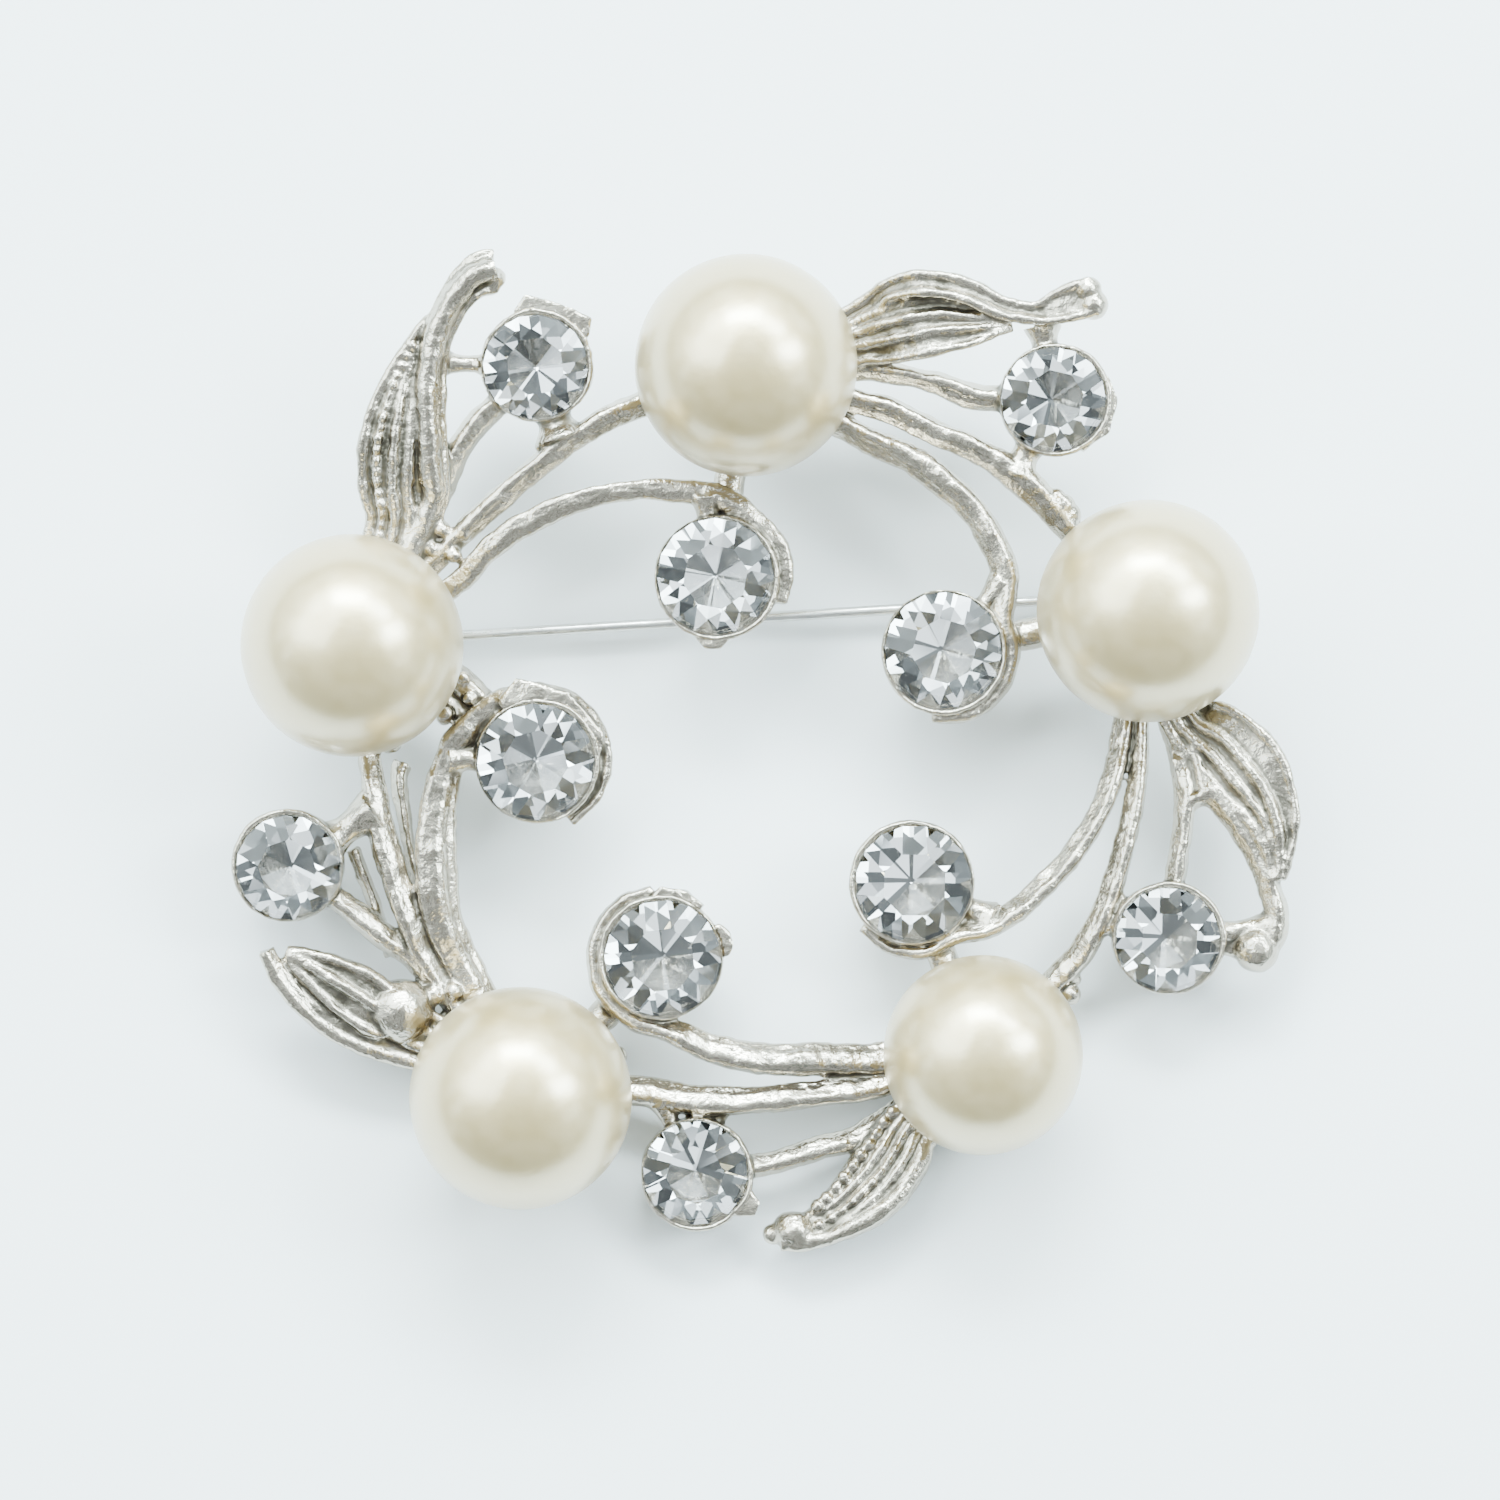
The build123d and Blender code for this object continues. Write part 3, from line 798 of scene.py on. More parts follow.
def lathe(profile: Sequence[tuple[float, float]], centre: Vector, sides: int) -> bpy.types.Mesh:
    """Turn a profile round an upright axis.

    Args:
        profile: Radius and height of each ring, from the lowest round to the last; nought closes a pole.
        centre: The foot of the axis.
        sides: Steps in a turn.

    Returns:
        A closed mesh.
    """
    points: list[Vector] = []
    rings: list[list[int]] = []
    for radius, height in profile:
        start = len(points)
        if radius < NOUGHT:
            points.append(centre + upward(height))
            rings.append([start] * sides)
            continue
        points += [centre + polar(radius, 2 * pi * i / sides, height) for i in range(sides)]
        rings.append(list(range(start, start + sides)))
    if profile[0][0] > NOUGHT:
        rings.append(rings[0])
    faces = []
    for low, high in zip(rings, rings[1:]):
        for i in range(sides):
            ahead = (i + 1) % sides
            faces.append(list(dict.fromkeys((low[i], low[ahead], high[ahead], high[i]))))
    return mesh_of("turned", points, faces)


def prism(outline: Sequence[Vector], height: float) -> bpy.types.Mesh:
    """Raise a closed outline straight up.

    Args:
        outline: Its corners in order.
        height: How far it is raised.

    Returns:
        A closed mesh.
    """
    count = len(outline)
    points = list(outline) + [point + upward(height) for point in outline]
    faces = [list(range(count))[::-1], list(range(count, 2 * count))]
    faces += [[i, (i + 1) % count, (i + 1) % count + count, i + count] for i in range(count)]
    return mesh_of("raised", points, faces)


def sheet(line: Sequence[Station], thickness: float, camber: float, across: int = 12) -> bpy.types.Mesh:
    """Run a thin domed sheet along a line.

    Args:
        line: Stations whose sizes are the width and the roll in degrees.
        thickness: The sheet's thickness at its edges.
        camber: How far its middle stands over its edges.
        across: Steps from edge to edge.

    Returns:
        A closed mesh.
    """
    points = []
    for station in line:
        for side in (1, -1):
            for j in range(across + 1):
                spot = leaf_spot(station, side * (1 - 2 * j / across), camber)
                points.append(spot + station.up * (side * thickness / 2))
    around = 2 * (across + 1)
    faces = []
    for i in range(len(line) - 1):
        low, high = i * around, (i + 1) * around
        for j in range(around):
            ahead = (j + 1) % around
            faces.append([low + j, low + ahead, high + ahead, high + j])
    faces.append(list(range(around)))
    faces.append(list(range(len(points) - around, len(points)))[::-1])
    return mesh_of("sheet", points, faces)


def leaf_spot(station: Station, share: float, camber: float) -> Vector:
    """Find a spot on a leaf's domed top.

    Args:
        station: A station whose sizes are the width and the roll in degrees.
        share: From -1 at the right edge to 1 at the left.
        camber: How far the middle stands over the edges.

    Returns:
        The point.
    """
    width, roll = station.sizes[:2]
    side = share * width / 2
    rise = camber * (1 - share * share) * min(1.0, width / LEAF_WIDTH)
    c, s = cos(radians(roll)), sin(radians(roll))
    return station.point + station.left * (side * c - rise * s) + station.up * (side * s + rise * c)


def joined(name: str, meshes: Sequence[bpy.types.Mesh]) -> bpy.types.Mesh:
    """Put several meshes in one, and throw the parts away.

    Args:
        name: The new mesh's name.
        meshes: The parts.

    Returns:
        The new mesh.
    """
    body = bmesh.new()
    for mesh in meshes:
        body.from_mesh(mesh)
    whole = settled(body, bpy.data.meshes.new(name))
    for mesh in meshes:
        bpy.data.meshes.remove(mesh)
    return whole


def drop_crumbs(mesh: bpy.types.Mesh, least: int = 60) -> None:
    """Remove the loose crumbs that a new skin leaves.

    Args:
        mesh: The skin.
        least: A body with fewer corners than this is a crumb.
    """
    shell = bmesh.new()
    shell.from_mesh(mesh)
    fresh, crumbs = set(shell.verts), []
    while fresh:
        body, edge = set(), {fresh.pop()}
        while edge:
            body |= edge
            edge = {line.other_vert(corner) for corner in edge for line in corner.link_edges} - body
        fresh -= body
        if len(body) < least:
            crumbs += body
    bmesh.ops.delete(shell, geom=crumbs, context="VERTS")
    settled(shell, mesh)


def skinned(mesh: bpy.types.Mesh, voxel: float, smoothing: int) -> bpy.types.Mesh:
    """Melt overlapping bodies into one even skin.

    Args:
        mesh: The bodies.
        voxel: Size of the new faces in millimetres.
        smoothing: How often to smooth it.

    Returns:
        The new mesh.
    """
    carrier = placed("carrier", mesh)
    melt = carrier.modifiers.new("melt", "REMESH")
    melt.mode = "VOXEL"
    melt.voxel_size = voxel
    melt.use_smooth_shade = True
    soften = carrier.modifiers.new("soften", "SMOOTH")
    soften.factor = 0.5
    soften.iterations = smoothing
    result = harvest(carrier)
    bpy.data.meshes.remove(mesh)
    drop_crumbs(result)
    return result


def piece(name: str, mesh: bpy.types.Mesh, materials: Sequence[bpy.types.Material]) -> bpy.types.Object:
    """Put a mesh that lies in the row frame into the scene as a piece.

    Args:
        name: The piece's name.
        mesh: The mesh.
        materials: Its materials, in the order of its faces' numbers.

    Returns:
        The piece.
    """
    mesh.name = name
    mesh.materials.clear()
    for material in materials:
        mesh.materials.append(material)
    return placed(name, mesh)


@dataclass(frozen=True)
class StoneCut:
    """Levels and radii of a stone and its setting, in millimetres over the casting's back."""

    diameter: float
    crown_share: float = 0.20
    pavilion_share: float = 0.42
    foil_share: float = 0.405
    table_share: float = 0.56
    girdle: float = 0.15

    @property
    def radius(self) -> float:
        """Return the girdle's radius."""
        return self.diameter / 2

    @property
    def point(self) -> float:
        """Return the height of the lower point."""
        return SETTING_FLOOR + STONE_GAP

    @property
    def low(self) -> float:
        """Return the height of the girdle's lower edge."""
        return self.point + self.pavilion_share * self.diameter

    @property
    def tip(self) -> float:
        """Return the height of the foiled tip, a little over the hollow's lowest point."""
        return self.low - self.foil_share * self.diameter

    @property
    def high(self) -> float:
        """Return the height of the girdle's upper edge."""
        return self.low + self.girdle

    @property
    def top(self) -> float:
        """Return the height of the table."""
        return self.high + self.crown_share * self.diameter

    @property
    def rim_radius(self) -> float:
        """Return the setting's outer radius."""
        return self.radius + STONE_GAP + SETTING_WALL

    @property
    def rim_height(self) -> float:
        """Return the height of the setting's rim."""
        return self.high + SETTING_LIP

    def floor_at(self, distance: float) -> float:
        """Return the height of the hollow under the stone, at a distance from its axis."""
        share = distance / (self.radius + STONE_GAP)
        return self.point - STONE_GAP + share * (self.low - self.point)


INNER_CUT = StoneCut(INNER_STONE_DIAMETER)
OUTER_CUT = StoneCut(OUTER_STONE_DIAMETER)


class Rib(NamedTuple):
    """A rib on a leaf.

    Its two places across are from -1 at the right edge to 1 at the left, the two along are shares of the
    leaf's length, the radius is in millimetres, and beads is the radius of the beads on it or nought.
    """

    across_start: float
    across_end: float
    start: float
    end: float
    radius: float
    beads: float = 0.0


@dataclass(frozen=True)
class LeafPlan:
    """A lobe of a leaf: its midline, its ribs, their beads' pitch, and its sheet's thickness and camber."""

    rows: tuple[LeafRow, ...]
    ribs: tuple[Rib, ...]
    bead_pitch: float = 0.5
    thickness: float = 0.5
    camber: float = 0.4


@dataclass(frozen=True)
class SprayPlan:
    """Everything on one spray of the wreath."""

    pearl: int
    next_pearl: int
    inner_stone: Place
    outer_stone: Place
    inner: tuple[Row, ...]
    middle: tuple[Row, ...]
    outer: tuple[Row, ...]
    leaves: tuple[LeafPlan, ...]
    wrap: Wrap
    pearl_size: float = PEARL_DIAMETER
    inner_wires: tuple[Wire, ...] = (Wire(0.12, 0.22, 0.33), Wire(-0.42, -0.12, 0.26))
    middle_wires: tuple[Wire, ...] = (Wire(0.12, 0.22, 0.32), Wire(-0.40, -0.12, 0.25))
    outer_wires: tuple[Wire, ...] = (Wire(0.08, 0.20, 0.33), Wire(-0.36, -0.14, 0.24))
    inner_lean: float = 0.0
    outer_lean: float = 0.0
    inner_turn: float = 0.0
    outer_turn: float = 0.0
    links: tuple[Link, ...] = ()
    outer_links: tuple[Link, ...] = ()
    flaps: tuple[tuple[FlapCorner, ...], ...] = ()
    outer_flaps: tuple[tuple[FlapCorner, ...], ...] = ()
    extra_stems: tuple[tuple[Row, ...], ...] = ()
    nubs: tuple[Nub, ...] = ()


SPRAYS = (
    SprayPlan(
        pearl=1,
        next_pearl=2,
        inner_stone=Place(0.48, 0.26),
        outer_stone=Place(0.755, 0.885),
        inner=(
            Row(0.30, 0.79, 0.55, 1.0),
            Row(0.40, 0.745, 0.8, 1.1),
            Row(0.49, 0.68, 0.95, 1.1),
            Row(0.56, 0.61, 1.0, 1.05),
            Row(0.61, 0.53, 1.05, 1.1),
            Row(0.64, 0.44, 1.1, 1.05),
        ),
        middle=(
            Row(0.33, 0.87, 0.6, 1.0),
            Row(0.46, 0.81, 0.8, 1.0),
            Row(0.60, 0.745, 0.9, 1.0),
            Row(0.69, 0.68, 0.85, 1.2),
            Row(0.77, 0.60, 0.65, 1.1),
        ),
        outer=(
            Row(0.31, 0.96, 0.55, 0.9),
            Row(0.45, 0.935, 0.75, 0.9),
            Row(0.57, 0.895, 0.8, 1.1),
        ),
        leaves=(
            LeafPlan(
                rows=(
                    LeafRow(0.27, 1.105, 0.6, 0.26, -6),
                    LeafRow(0.35, 1.160, 0.95, 0.29, -10),
                    LeafRow(0.436, 1.174, 1.2, 0.31, -12),
                    LeafRow(0.537, 1.155, 1.3, 0.29, -14),
                    LeafRow(0.623, 1.116, 1.3, 0.26, -16),
                    LeafRow(0.71, 1.099, 1.25, 0.26, -14),
                    LeafRow(0.782, 1.120, 1.35, 0.46, -6),
                    LeafRow(0.862, 1.143, 1.5, 0.50, 0),
                ),
                ribs=(Rib(0.8, 0.85, 0.0, 1.0, 0.21), Rib(-0.8, -0.85, 0.0, 1.0, 0.23)),
                thickness=0.65,
                camber=0.1,
            ),
            LeafPlan(
                rows=(
                    LeafRow(0.27, 1.040, 0.6, 0.72, -10),
                    LeafRow(0.363, 1.063, 0.9, 0.94, -12),
                    LeafRow(0.450, 1.078, 1.05, 0.96, -14),
                    LeafRow(0.537, 1.076, 1.1, 0.74, -16),
                    LeafRow(0.605, 1.076, 1.05, 0.36, -16),
                    LeafRow(0.650, 1.073, 0.95, 0.10, -10),
                ),
                ribs=(
                    Rib(0.62, 0.55, 0.0, 0.85, 0.21),
                    Rib(0.15, 0.15, 0.0, 0.97, 0.24),
                    Rib(-0.35, -0.3, 0.0, 0.97, 0.22),
                    Rib(-0.90, -0.85, 0.0, 1.0, 0.23),
                ),
            ),
        ),
        wrap=Wrap(28, -100, 0.55),
        inner_lean=-60,
        outer_lean=-10,
        inner_turn=7,
        outer_turn=10,
        links=(Link(0.63, 0.43, 1.0, 1.0),),
        outer_links=(Link(0.73, 1.07, 0.95, 1.2), Link(0.665, 0.70, 0.8, 1.2)),
        outer_flaps=(
            (FlapCorner(25, 1.04), FlapCorner(0, 1.12), FlapCorner(-30, 1.12), FlapCorner(-60, 1.04)),
        ),
        nubs=(
            Nub(0.785, 0.625, 0.7, 0.42),
            Nub(0.80, 0.60, 0.6, 0.5),
            Nub(0.765, 0.645, 0.75, 0.35),
            Nub(0.842, 1.160, 1.5, 0.48),
            Nub(0.856, 1.118, 1.45, 0.56),
        ),
    ),
    SprayPlan(
        pearl=2,
        next_pearl=5,
        inner_stone=Place(0.407, -0.32),
        outer_stone=Place(1.04, -0.46),
        inner=(
            Row(0.93, 0.04, 0.55, 0.85),
            Row(0.91, -0.05, 0.8, 0.85),
            Row(0.865, -0.16, 0.95, 0.82),
            Row(0.79, -0.27, 1.0, 0.85),
            Row(0.69, -0.37, 1.05, 0.9),
            Row(0.60, -0.43, 1.1, 0.9),
        ),
        middle=(
            Row(0.975, 0.03, 0.6, 0.75),
            Row(0.965, -0.09, 0.85, 0.8),
            Row(0.94, -0.21, 0.95, 0.9),
            Row(0.905, -0.33, 0.95, 0.9),
            Row(0.86, -0.44, 0.9, 0.95),
            Row(0.80, -0.53, 0.65, 1.05),
        ),
        outer=(
            Row(1.065, 0.03, 0.5, 0.9),
            Row(1.085, -0.08, 0.75, 0.9),
            Row(1.08, -0.19, 0.8, 0.85),
        ),
        leaves=(
            LeafPlan(
                rows=(
                    LeafRow(1.10, 0.095, 0.6, 0.72, 8),
                    LeafRow(1.175, 0.035, 0.85, 0.95, 12),
                    LeafRow(1.245, -0.045, 1.05, 1.04, 14),
                    LeafRow(1.293, -0.127, 1.15, 0.78, 14),
                    LeafRow(1.313, -0.202, 1.2, 0.52, 12),
                    LeafRow(1.316, -0.262, 1.2, 0.30, 10),
                    LeafRow(1.314, -0.312, 1.2, 0.14, 8),
                ),
                ribs=(
                    Rib(0.95, 0.9, 0.0, 1.0, 0.19),
                    Rib(0.1, 0.1, 0.05, 1.0, 0.27),
                    Rib(-0.45, -0.4, 0.0, 0.8, 0.25),
                    Rib(-0.95, -0.9, 0.0, 1.0, 0.27),
                ),
                camber=0.25,
            ),
            LeafPlan(
                rows=(
                    LeafRow(1.085, 0.06, 0.55, 0.50, 0),
                    LeafRow(1.110, 0.0, 0.7, 0.62, 0),
                    LeafRow(1.125, -0.06, 0.8, 0.62, 0),
                    LeafRow(1.135, -0.10, 0.85, 0.50, 0),
                ),
                ribs=(Rib(0.1, 0.0, 0.0, 1.0, 0.26),),
                camber=0.0,
            ),
        ),
        wrap=Wrap(-50, -140, 0.5),
        inner_lean=150,
        outer_lean=60,
        inner_turn=22,
        outer_turn=20,
        links=(Link(0.60, -0.41, 0.9, 1.1),),
        outer_links=(
            Link(0.91, -0.40, 0.8, 1.4),
            Link(1.295, -0.425, 1.0, 0.9),
            Link(1.245, -0.48, 0.85, 1.0),
        ),
        extra_stems=(
            (
                Row(1.135, -0.085, 0.85, 0.9),
                Row(1.175, -0.125, 0.95, 0.85),
                Row(1.215, -0.180, 1.0, 0.8),
                Row(1.264, -0.257, 1.05, 0.9),
                Row(1.297, -0.330, 1.1, 1.0),
                Row(1.311, -0.397, 1.15, 1.05),
                Row(1.303, -0.450, 1.1, 1.2),
                Row(1.275, -0.482, 1.0, 1.2),
            ),
            (Row(1.085, -0.125, 0.8, 0.7), Row(1.125, -0.105, 0.85, 0.8), Row(1.165, -0.105, 0.9, 0.9)),
        ),
        nubs=(
            Nub(1.264, -0.486, 1.05, 0.88),
            Nub(0.785, -0.545, 0.6, 0.42),
            Nub(0.765, -0.585, 0.55, 0.36),
            Nub(0.80, -0.60, 0.5, 0.40),
            Nub(0.735, -0.605, 0.5, 0.34),
            Nub(0.815, -0.56, 0.5, 0.30),
        ),
    ),
    SprayPlan(
        pearl=5,
        next_pearl=4,
        pearl_size=SMALL_PEARL_DIAMETER,
        inner_stone=Place(-0.217, -0.506),
        outer_stone=Place(-0.136, -1.04),
        inner=(
            Row(0.30, -0.765, 0.55, 1.2),
            Row(0.16, -0.765, 0.8, 1.25),
            Row(0.02, -0.76, 0.95, 1.25),
            Row(-0.10, -0.735, 1.0, 1.1),
            Row(-0.20, -0.69, 1.05, 1.0),
        ),
        middle=(
            Row(0.32, -0.83, 0.6, 1.0),
            Row(0.16, -0.85, 0.85, 1.05),
            Row(0.0, -0.865, 0.95, 1.1),
            Row(-0.14, -0.865, 0.95, 1.2),
            Row(-0.27, -0.845, 0.7, 1.2),
        ),
        outer=(
            Row(0.30, -0.94, 0.55, 1.0),
            Row(0.17, -0.985, 0.75, 1.0),
            Row(0.05, -1.02, 0.8, 0.95),
        ),
        leaves=(
            LeafPlan(
                rows=(
                    LeafRow(0.402, -0.93, 0.6, 0.78, 0),
                    LeafRow(0.366, -0.995, 0.75, 0.92, 4),
                    LeafRow(0.312, -1.070, 0.9, 0.97, 8),
                    LeafRow(0.247, -1.130, 0.95, 0.80, 12),
                    LeafRow(0.180, -1.172, 0.95, 0.60, 12),
                    LeafRow(0.125, -1.194, 0.95, 0.46, 10),
                    LeafRow(0.075, -1.202, 0.95, 0.28, 0),
                ),
                ribs=(
                    Rib(-0.86, -0.78, 0.0, 0.78, 0.19, 0.30),
                    Rib(-0.46, -0.4, 0.0, 0.85, 0.17),
                    Rib(-0.1, -0.05, 0.0, 0.85, 0.18, 0.19),
                    Rib(0.30, 0.25, 0.0, 0.9, 0.18),
                    Rib(0.78, 0.55, 0.0, 1.0, 0.42),
                ),
                bead_pitch=0.62,
            ),
        ),
        wrap=Wrap(-118, -262, 0.6),
        inner_lean=150,
        outer_lean=-40,
        inner_turn=30,
        outer_turn=5,
        outer_links=(Link(-0.22, -0.87, 0.8, 0.8), Link(-0.06, -0.87, 0.8, 0.7)),
        flaps=(
            (FlapCorner(100, 1.02), FlapCorner(92, 1.13), FlapCorner(70, 1.13), FlapCorner(52, 1.06)),
            (FlapCorner(32, 1.04), FlapCorner(22, 1.13), FlapCorner(10, 1.13), FlapCorner(2, 1.04)),
        ),
        outer_flaps=(
            (FlapCorner(-18, 1.02), FlapCorner(-24, 1.22), FlapCorner(-36, 1.26), FlapCorner(-46, 1.04)),
        ),
        nubs=(
            Nub(0.108, -1.185, 1.0, 0.78),
            Nub(0.056, -1.195, 0.95, 0.40),
            Nub(-0.37, -0.80, 0.6, 0.5),
            Nub(-0.33, -0.75, 0.6, 0.4),
        ),
    ),
    SprayPlan(
        pearl=4,
        next_pearl=3,
        inner_stone=Place(-0.533, -0.017),
        outer_stone=Place(-1.149, -0.28),
        inner=(
            Row(-0.72, -0.53, 0.6, 1.2),
            Row(-0.762, -0.44, 0.8, 1.25),
            Row(-0.785, -0.34, 0.95, 1.35),
            Row(-0.79, -0.23, 1.0, 1.35),
            Row(-0.78, -0.12, 1.0, 1.2),
            Row(-0.76, -0.03, 1.05, 1.05),
            Row(-0.715, 0.055, 1.1, 1.0),
        ),
        middle=(
            Row(-0.80, -0.53, 0.65, 1.0),
            Row(-0.845, -0.43, 0.85, 1.05),
            Row(-0.885, -0.32, 0.95, 1.1),
            Row(-0.92, -0.20, 0.95, 1.1),
            Row(-0.94, -0.09, 0.9, 1.0),
            Row(-0.955, 0.0, 0.65, 0.9),
        ),
        outer=(
            Row(-0.83, -0.52, 0.55, 1.1),
            Row(-0.92, -0.45, 0.75, 1.1),
            Row(-1.0, -0.385, 0.8, 1.0),
        ),
        leaves=(
            LeafPlan(
                rows=(
                    LeafRow(-0.87, -0.755, 0.6, 0.26, 0),
                    LeafRow(-0.957, -0.728, 0.75, 0.28, -4),
                    LeafRow(-1.035, -0.689, 0.85, 0.29, -8),
                    LeafRow(-1.110, -0.629, 0.95, 0.28, -10),
                    LeafRow(-1.172, -0.556, 1.05, 0.25, -10),
                    LeafRow(-1.205, -0.484, 1.15, 0.22, -10),
                ),
                ribs=(Rib(0.2, 0.2, 0.0, 1.0, 0.36), Rib(-0.8, -0.8, 0.0, 0.9, 0.22)),
                thickness=0.6,
                camber=0.2,
            ),
            LeafPlan(
                rows=(
                    LeafRow(-0.865, -0.685, 0.65, 0.85, 0),
                    LeafRow(-0.935, -0.657, 0.85, 1.06, -6),
                    LeafRow(-1.005, -0.610, 0.95, 1.08, -10),
                    LeafRow(-1.070, -0.560, 1.0, 0.82, -12),
                    LeafRow(-1.118, -0.523, 1.0, 0.50, -12),
                    LeafRow(-1.157, -0.492, 1.0, 0.10, -10),
                ),
                ribs=(
                    Rib(-0.88, -0.8, 0.0, 1.0, 0.24),
                    Rib(-0.3, -0.3, 0.1, 0.97, 0.26),
                    Rib(0.3, 0.3, 0.1, 0.97, 0.24),
                    Rib(0.85, 0.8, 0.0, 0.9, 0.20),
                ),
            ),
        ),
        wrap=Wrap(122, -60, 0.5),
        inner_lean=30,
        outer_lean=110,
        inner_turn=37,
        outer_turn=40,
        inner_wires=(Wire(0.30, 0.12, 0.34), Wire(-0.15, 0.0, 0.36), Wire(-0.5, -0.22, 0.30)),
        links=(Link(-0.75, -0.01, 1.0, 1.0),),
        outer_links=(Link(-0.94, -0.14, 0.85, 1.4),),
        flaps=(
            (
                FlapCorner(122, 1.10),
                FlapCorner(104, 1.36),
                FlapCorner(64, 1.20),
                FlapCorner(24, 1.16),
                FlapCorner(8, 1.04),
            ),
        ),
        extra_stems=(
            (
                Row(-0.868, -0.02, 0.25, 0.85),
                Row(-0.880, -0.06, 0.3, 0.75),
                Row(-0.862, -0.18, 0.35, 0.6),
                Row(-0.835, -0.30, 0.4, 0.6),
                Row(-0.80, -0.42, 0.5, 0.6),
            ),
            (Row(-0.995, -0.235, 0.5, 0.6), Row(-0.945, -0.36, 0.45, 0.5), Row(-0.895, -0.50, 0.5, 0.6)),
            (
                Row(-0.81, 0.27, 0.5, 1.0),
                Row(-0.74, 0.20, 0.6, 1.25),
                Row(-0.67, 0.13, 0.7, 1.35),
                Row(-0.61, 0.07, 0.75, 1.1),
            ),
        ),
        nubs=(
            Nub(-0.872, -0.640, 0.75, 1.3),
            Nub(-0.90, 0.03, 0.6, 0.5),
            Nub(-0.76, 0.10, 0.9, 0.4),
            Nub(-0.755, 0.225, 0.85, 0.34),
            Nub(-0.715, 0.195, 0.9, 0.30),
            Nub(-0.70, 0.14, 0.95, 0.34),
            Nub(-0.655, 0.135, 0.95, 0.28),
            Nub(-0.79, -0.60, 0.7, 0.45),
            Nub(-0.74, -0.59, 0.75, 0.38),
        ),
    ),
    SprayPlan(
        pearl=3,
        next_pearl=1,
        inner_stone=Place(-0.086, 0.444),
        outer_stone=Place(-0.534, 0.966),
        inner=(
            Row(-0.73, 0.43, 0.6, 0.9),
            Row(-0.65, 0.515, 0.8, 0.9),
            Row(-0.56, 0.575, 0.9, 0.95),
            Row(-0.45, 0.625, 1.0, 0.85),
            Row(-0.33, 0.655, 1.05, 0.8),
            Row(-0.20, 0.66, 1.05, 0.85),
            Row(-0.07, 0.64, 1.1, 1.0),
        ),
        middle=(
            Row(-0.76, 0.515, 0.65, 0.9),
            Row(-0.66, 0.61, 0.85, 0.95),
            Row(-0.57, 0.69, 0.9, 0.9),
            Row(-0.47, 0.77, 0.95, 0.95),
            Row(-0.36, 0.84, 0.9, 0.95),
            Row(-0.27, 0.88, 0.65, 1.0),
        ),
        outer=(
            Row(-0.775, 0.66, 0.6, 1.1),
            Row(-0.73, 0.76, 0.75, 1.05),
            Row(-0.67, 0.84, 0.8, 1.05),
        ),
        leaves=(
            LeafPlan(
                rows=(
                    LeafRow(-0.800, 0.600, 0.65, 0.34, 0),
                    LeafRow(-0.792, 0.715, 0.9, 0.38, 4),
                    LeafRow(-0.797, 0.823, 1.05, 0.40, 8),
                    LeafRow(-0.796, 0.932, 1.15, 0.41, 12),
                    LeafRow(-0.782, 1.025, 1.2, 0.42, 16),
                    LeafRow(-0.753, 1.103, 1.3, 0.44, 16),
                    LeafRow(-0.706, 1.168, 1.4, 0.52, 12),
                    LeafRow(-0.662, 1.196, 1.5, 0.60, 6),
                    LeafRow(-0.630, 1.203, 1.5, 0.58, 0),
                ),
                ribs=(Rib(0.15, 0.1, 0.0, 1.0, 0.56), Rib(-0.85, -0.8, 0.0, 0.9, 0.22)),
                thickness=0.7,
                camber=0.3,
            ),
            LeafPlan(
                rows=(
                    LeafRow(-0.880, 0.567, 0.65, 0.82, 0),
                    LeafRow(-0.882, 0.668, 0.85, 0.98, 2),
                    LeafRow(-0.878, 0.761, 1.0, 1.04, 4),
                    LeafRow(-0.868, 0.854, 1.1, 0.88, 8),
                    LeafRow(-0.850, 0.948, 1.15, 0.54, 12),
                    LeafRow(-0.822, 1.017, 1.2, 0.34, 14),
                    LeafRow(-0.790, 1.085, 1.25, 0.14, 14),
                ),
                ribs=(
                    Rib(0.93, 0.9, 0.0, 1.0, 0.22),
                    Rib(0.55, 0.5, 0.0, 0.85, 0.17, 0.17),
                    Rib(0.1, 0.1, 0.0, 0.85, 0.23),
                    Rib(-0.35, -0.3, 0.0, 0.8, 0.22),
                ),
            ),
        ),
        wrap=Wrap(60, -22, 0.7),
        inner_lean=-40,
        outer_lean=50,
        inner_turn=12,
        outer_turn=30,
        inner_wires=(Wire(0.34, 0.10, 0.27), Wire(-0.22, -0.05, 0.38)),
        links=(Link(-0.11, 0.645, 1.0, 1.0),),
        outer_links=(Link(-0.77, 0.98, 0.9, 0.85), Link(-0.47, 0.79, 0.8, 1.7)),
        flaps=(
            (FlapCorner(-78, 1.02), FlapCorner(-86, 1.14), FlapCorner(-98, 1.14), FlapCorner(-108, 1.02)),
        ),
        outer_flaps=(
            (
                FlapCorner(112, 1.04),
                FlapCorner(98, 1.26),
                FlapCorner(66, 1.18),
                FlapCorner(41, 1.28),
                FlapCorner(30, 1.06),
            ),
        ),
        nubs=(
            Nub(-0.84, 0.47, 0.6, 0.5),
            Nub(-0.80, 0.52, 0.7, 0.45),
            Nub(-0.74, 0.50, 0.75, 0.36),
            Nub(-0.715, 0.55, 0.8, 0.32),
            Nub(-0.77, 0.565, 0.8, 0.36),
            Nub(-0.632, 1.185, 1.5, 0.55),
            Nub(-0.648, 1.196, 1.5, 0.47),
            Nub(-0.25, 0.90, 0.6, 0.45),
        ),
    ),
)



class Trees(NamedTuple):
    """The node trees that shape a spray's metal."""

    strands: StrandTree
    nubs: NubTree
    skin: SkinTree


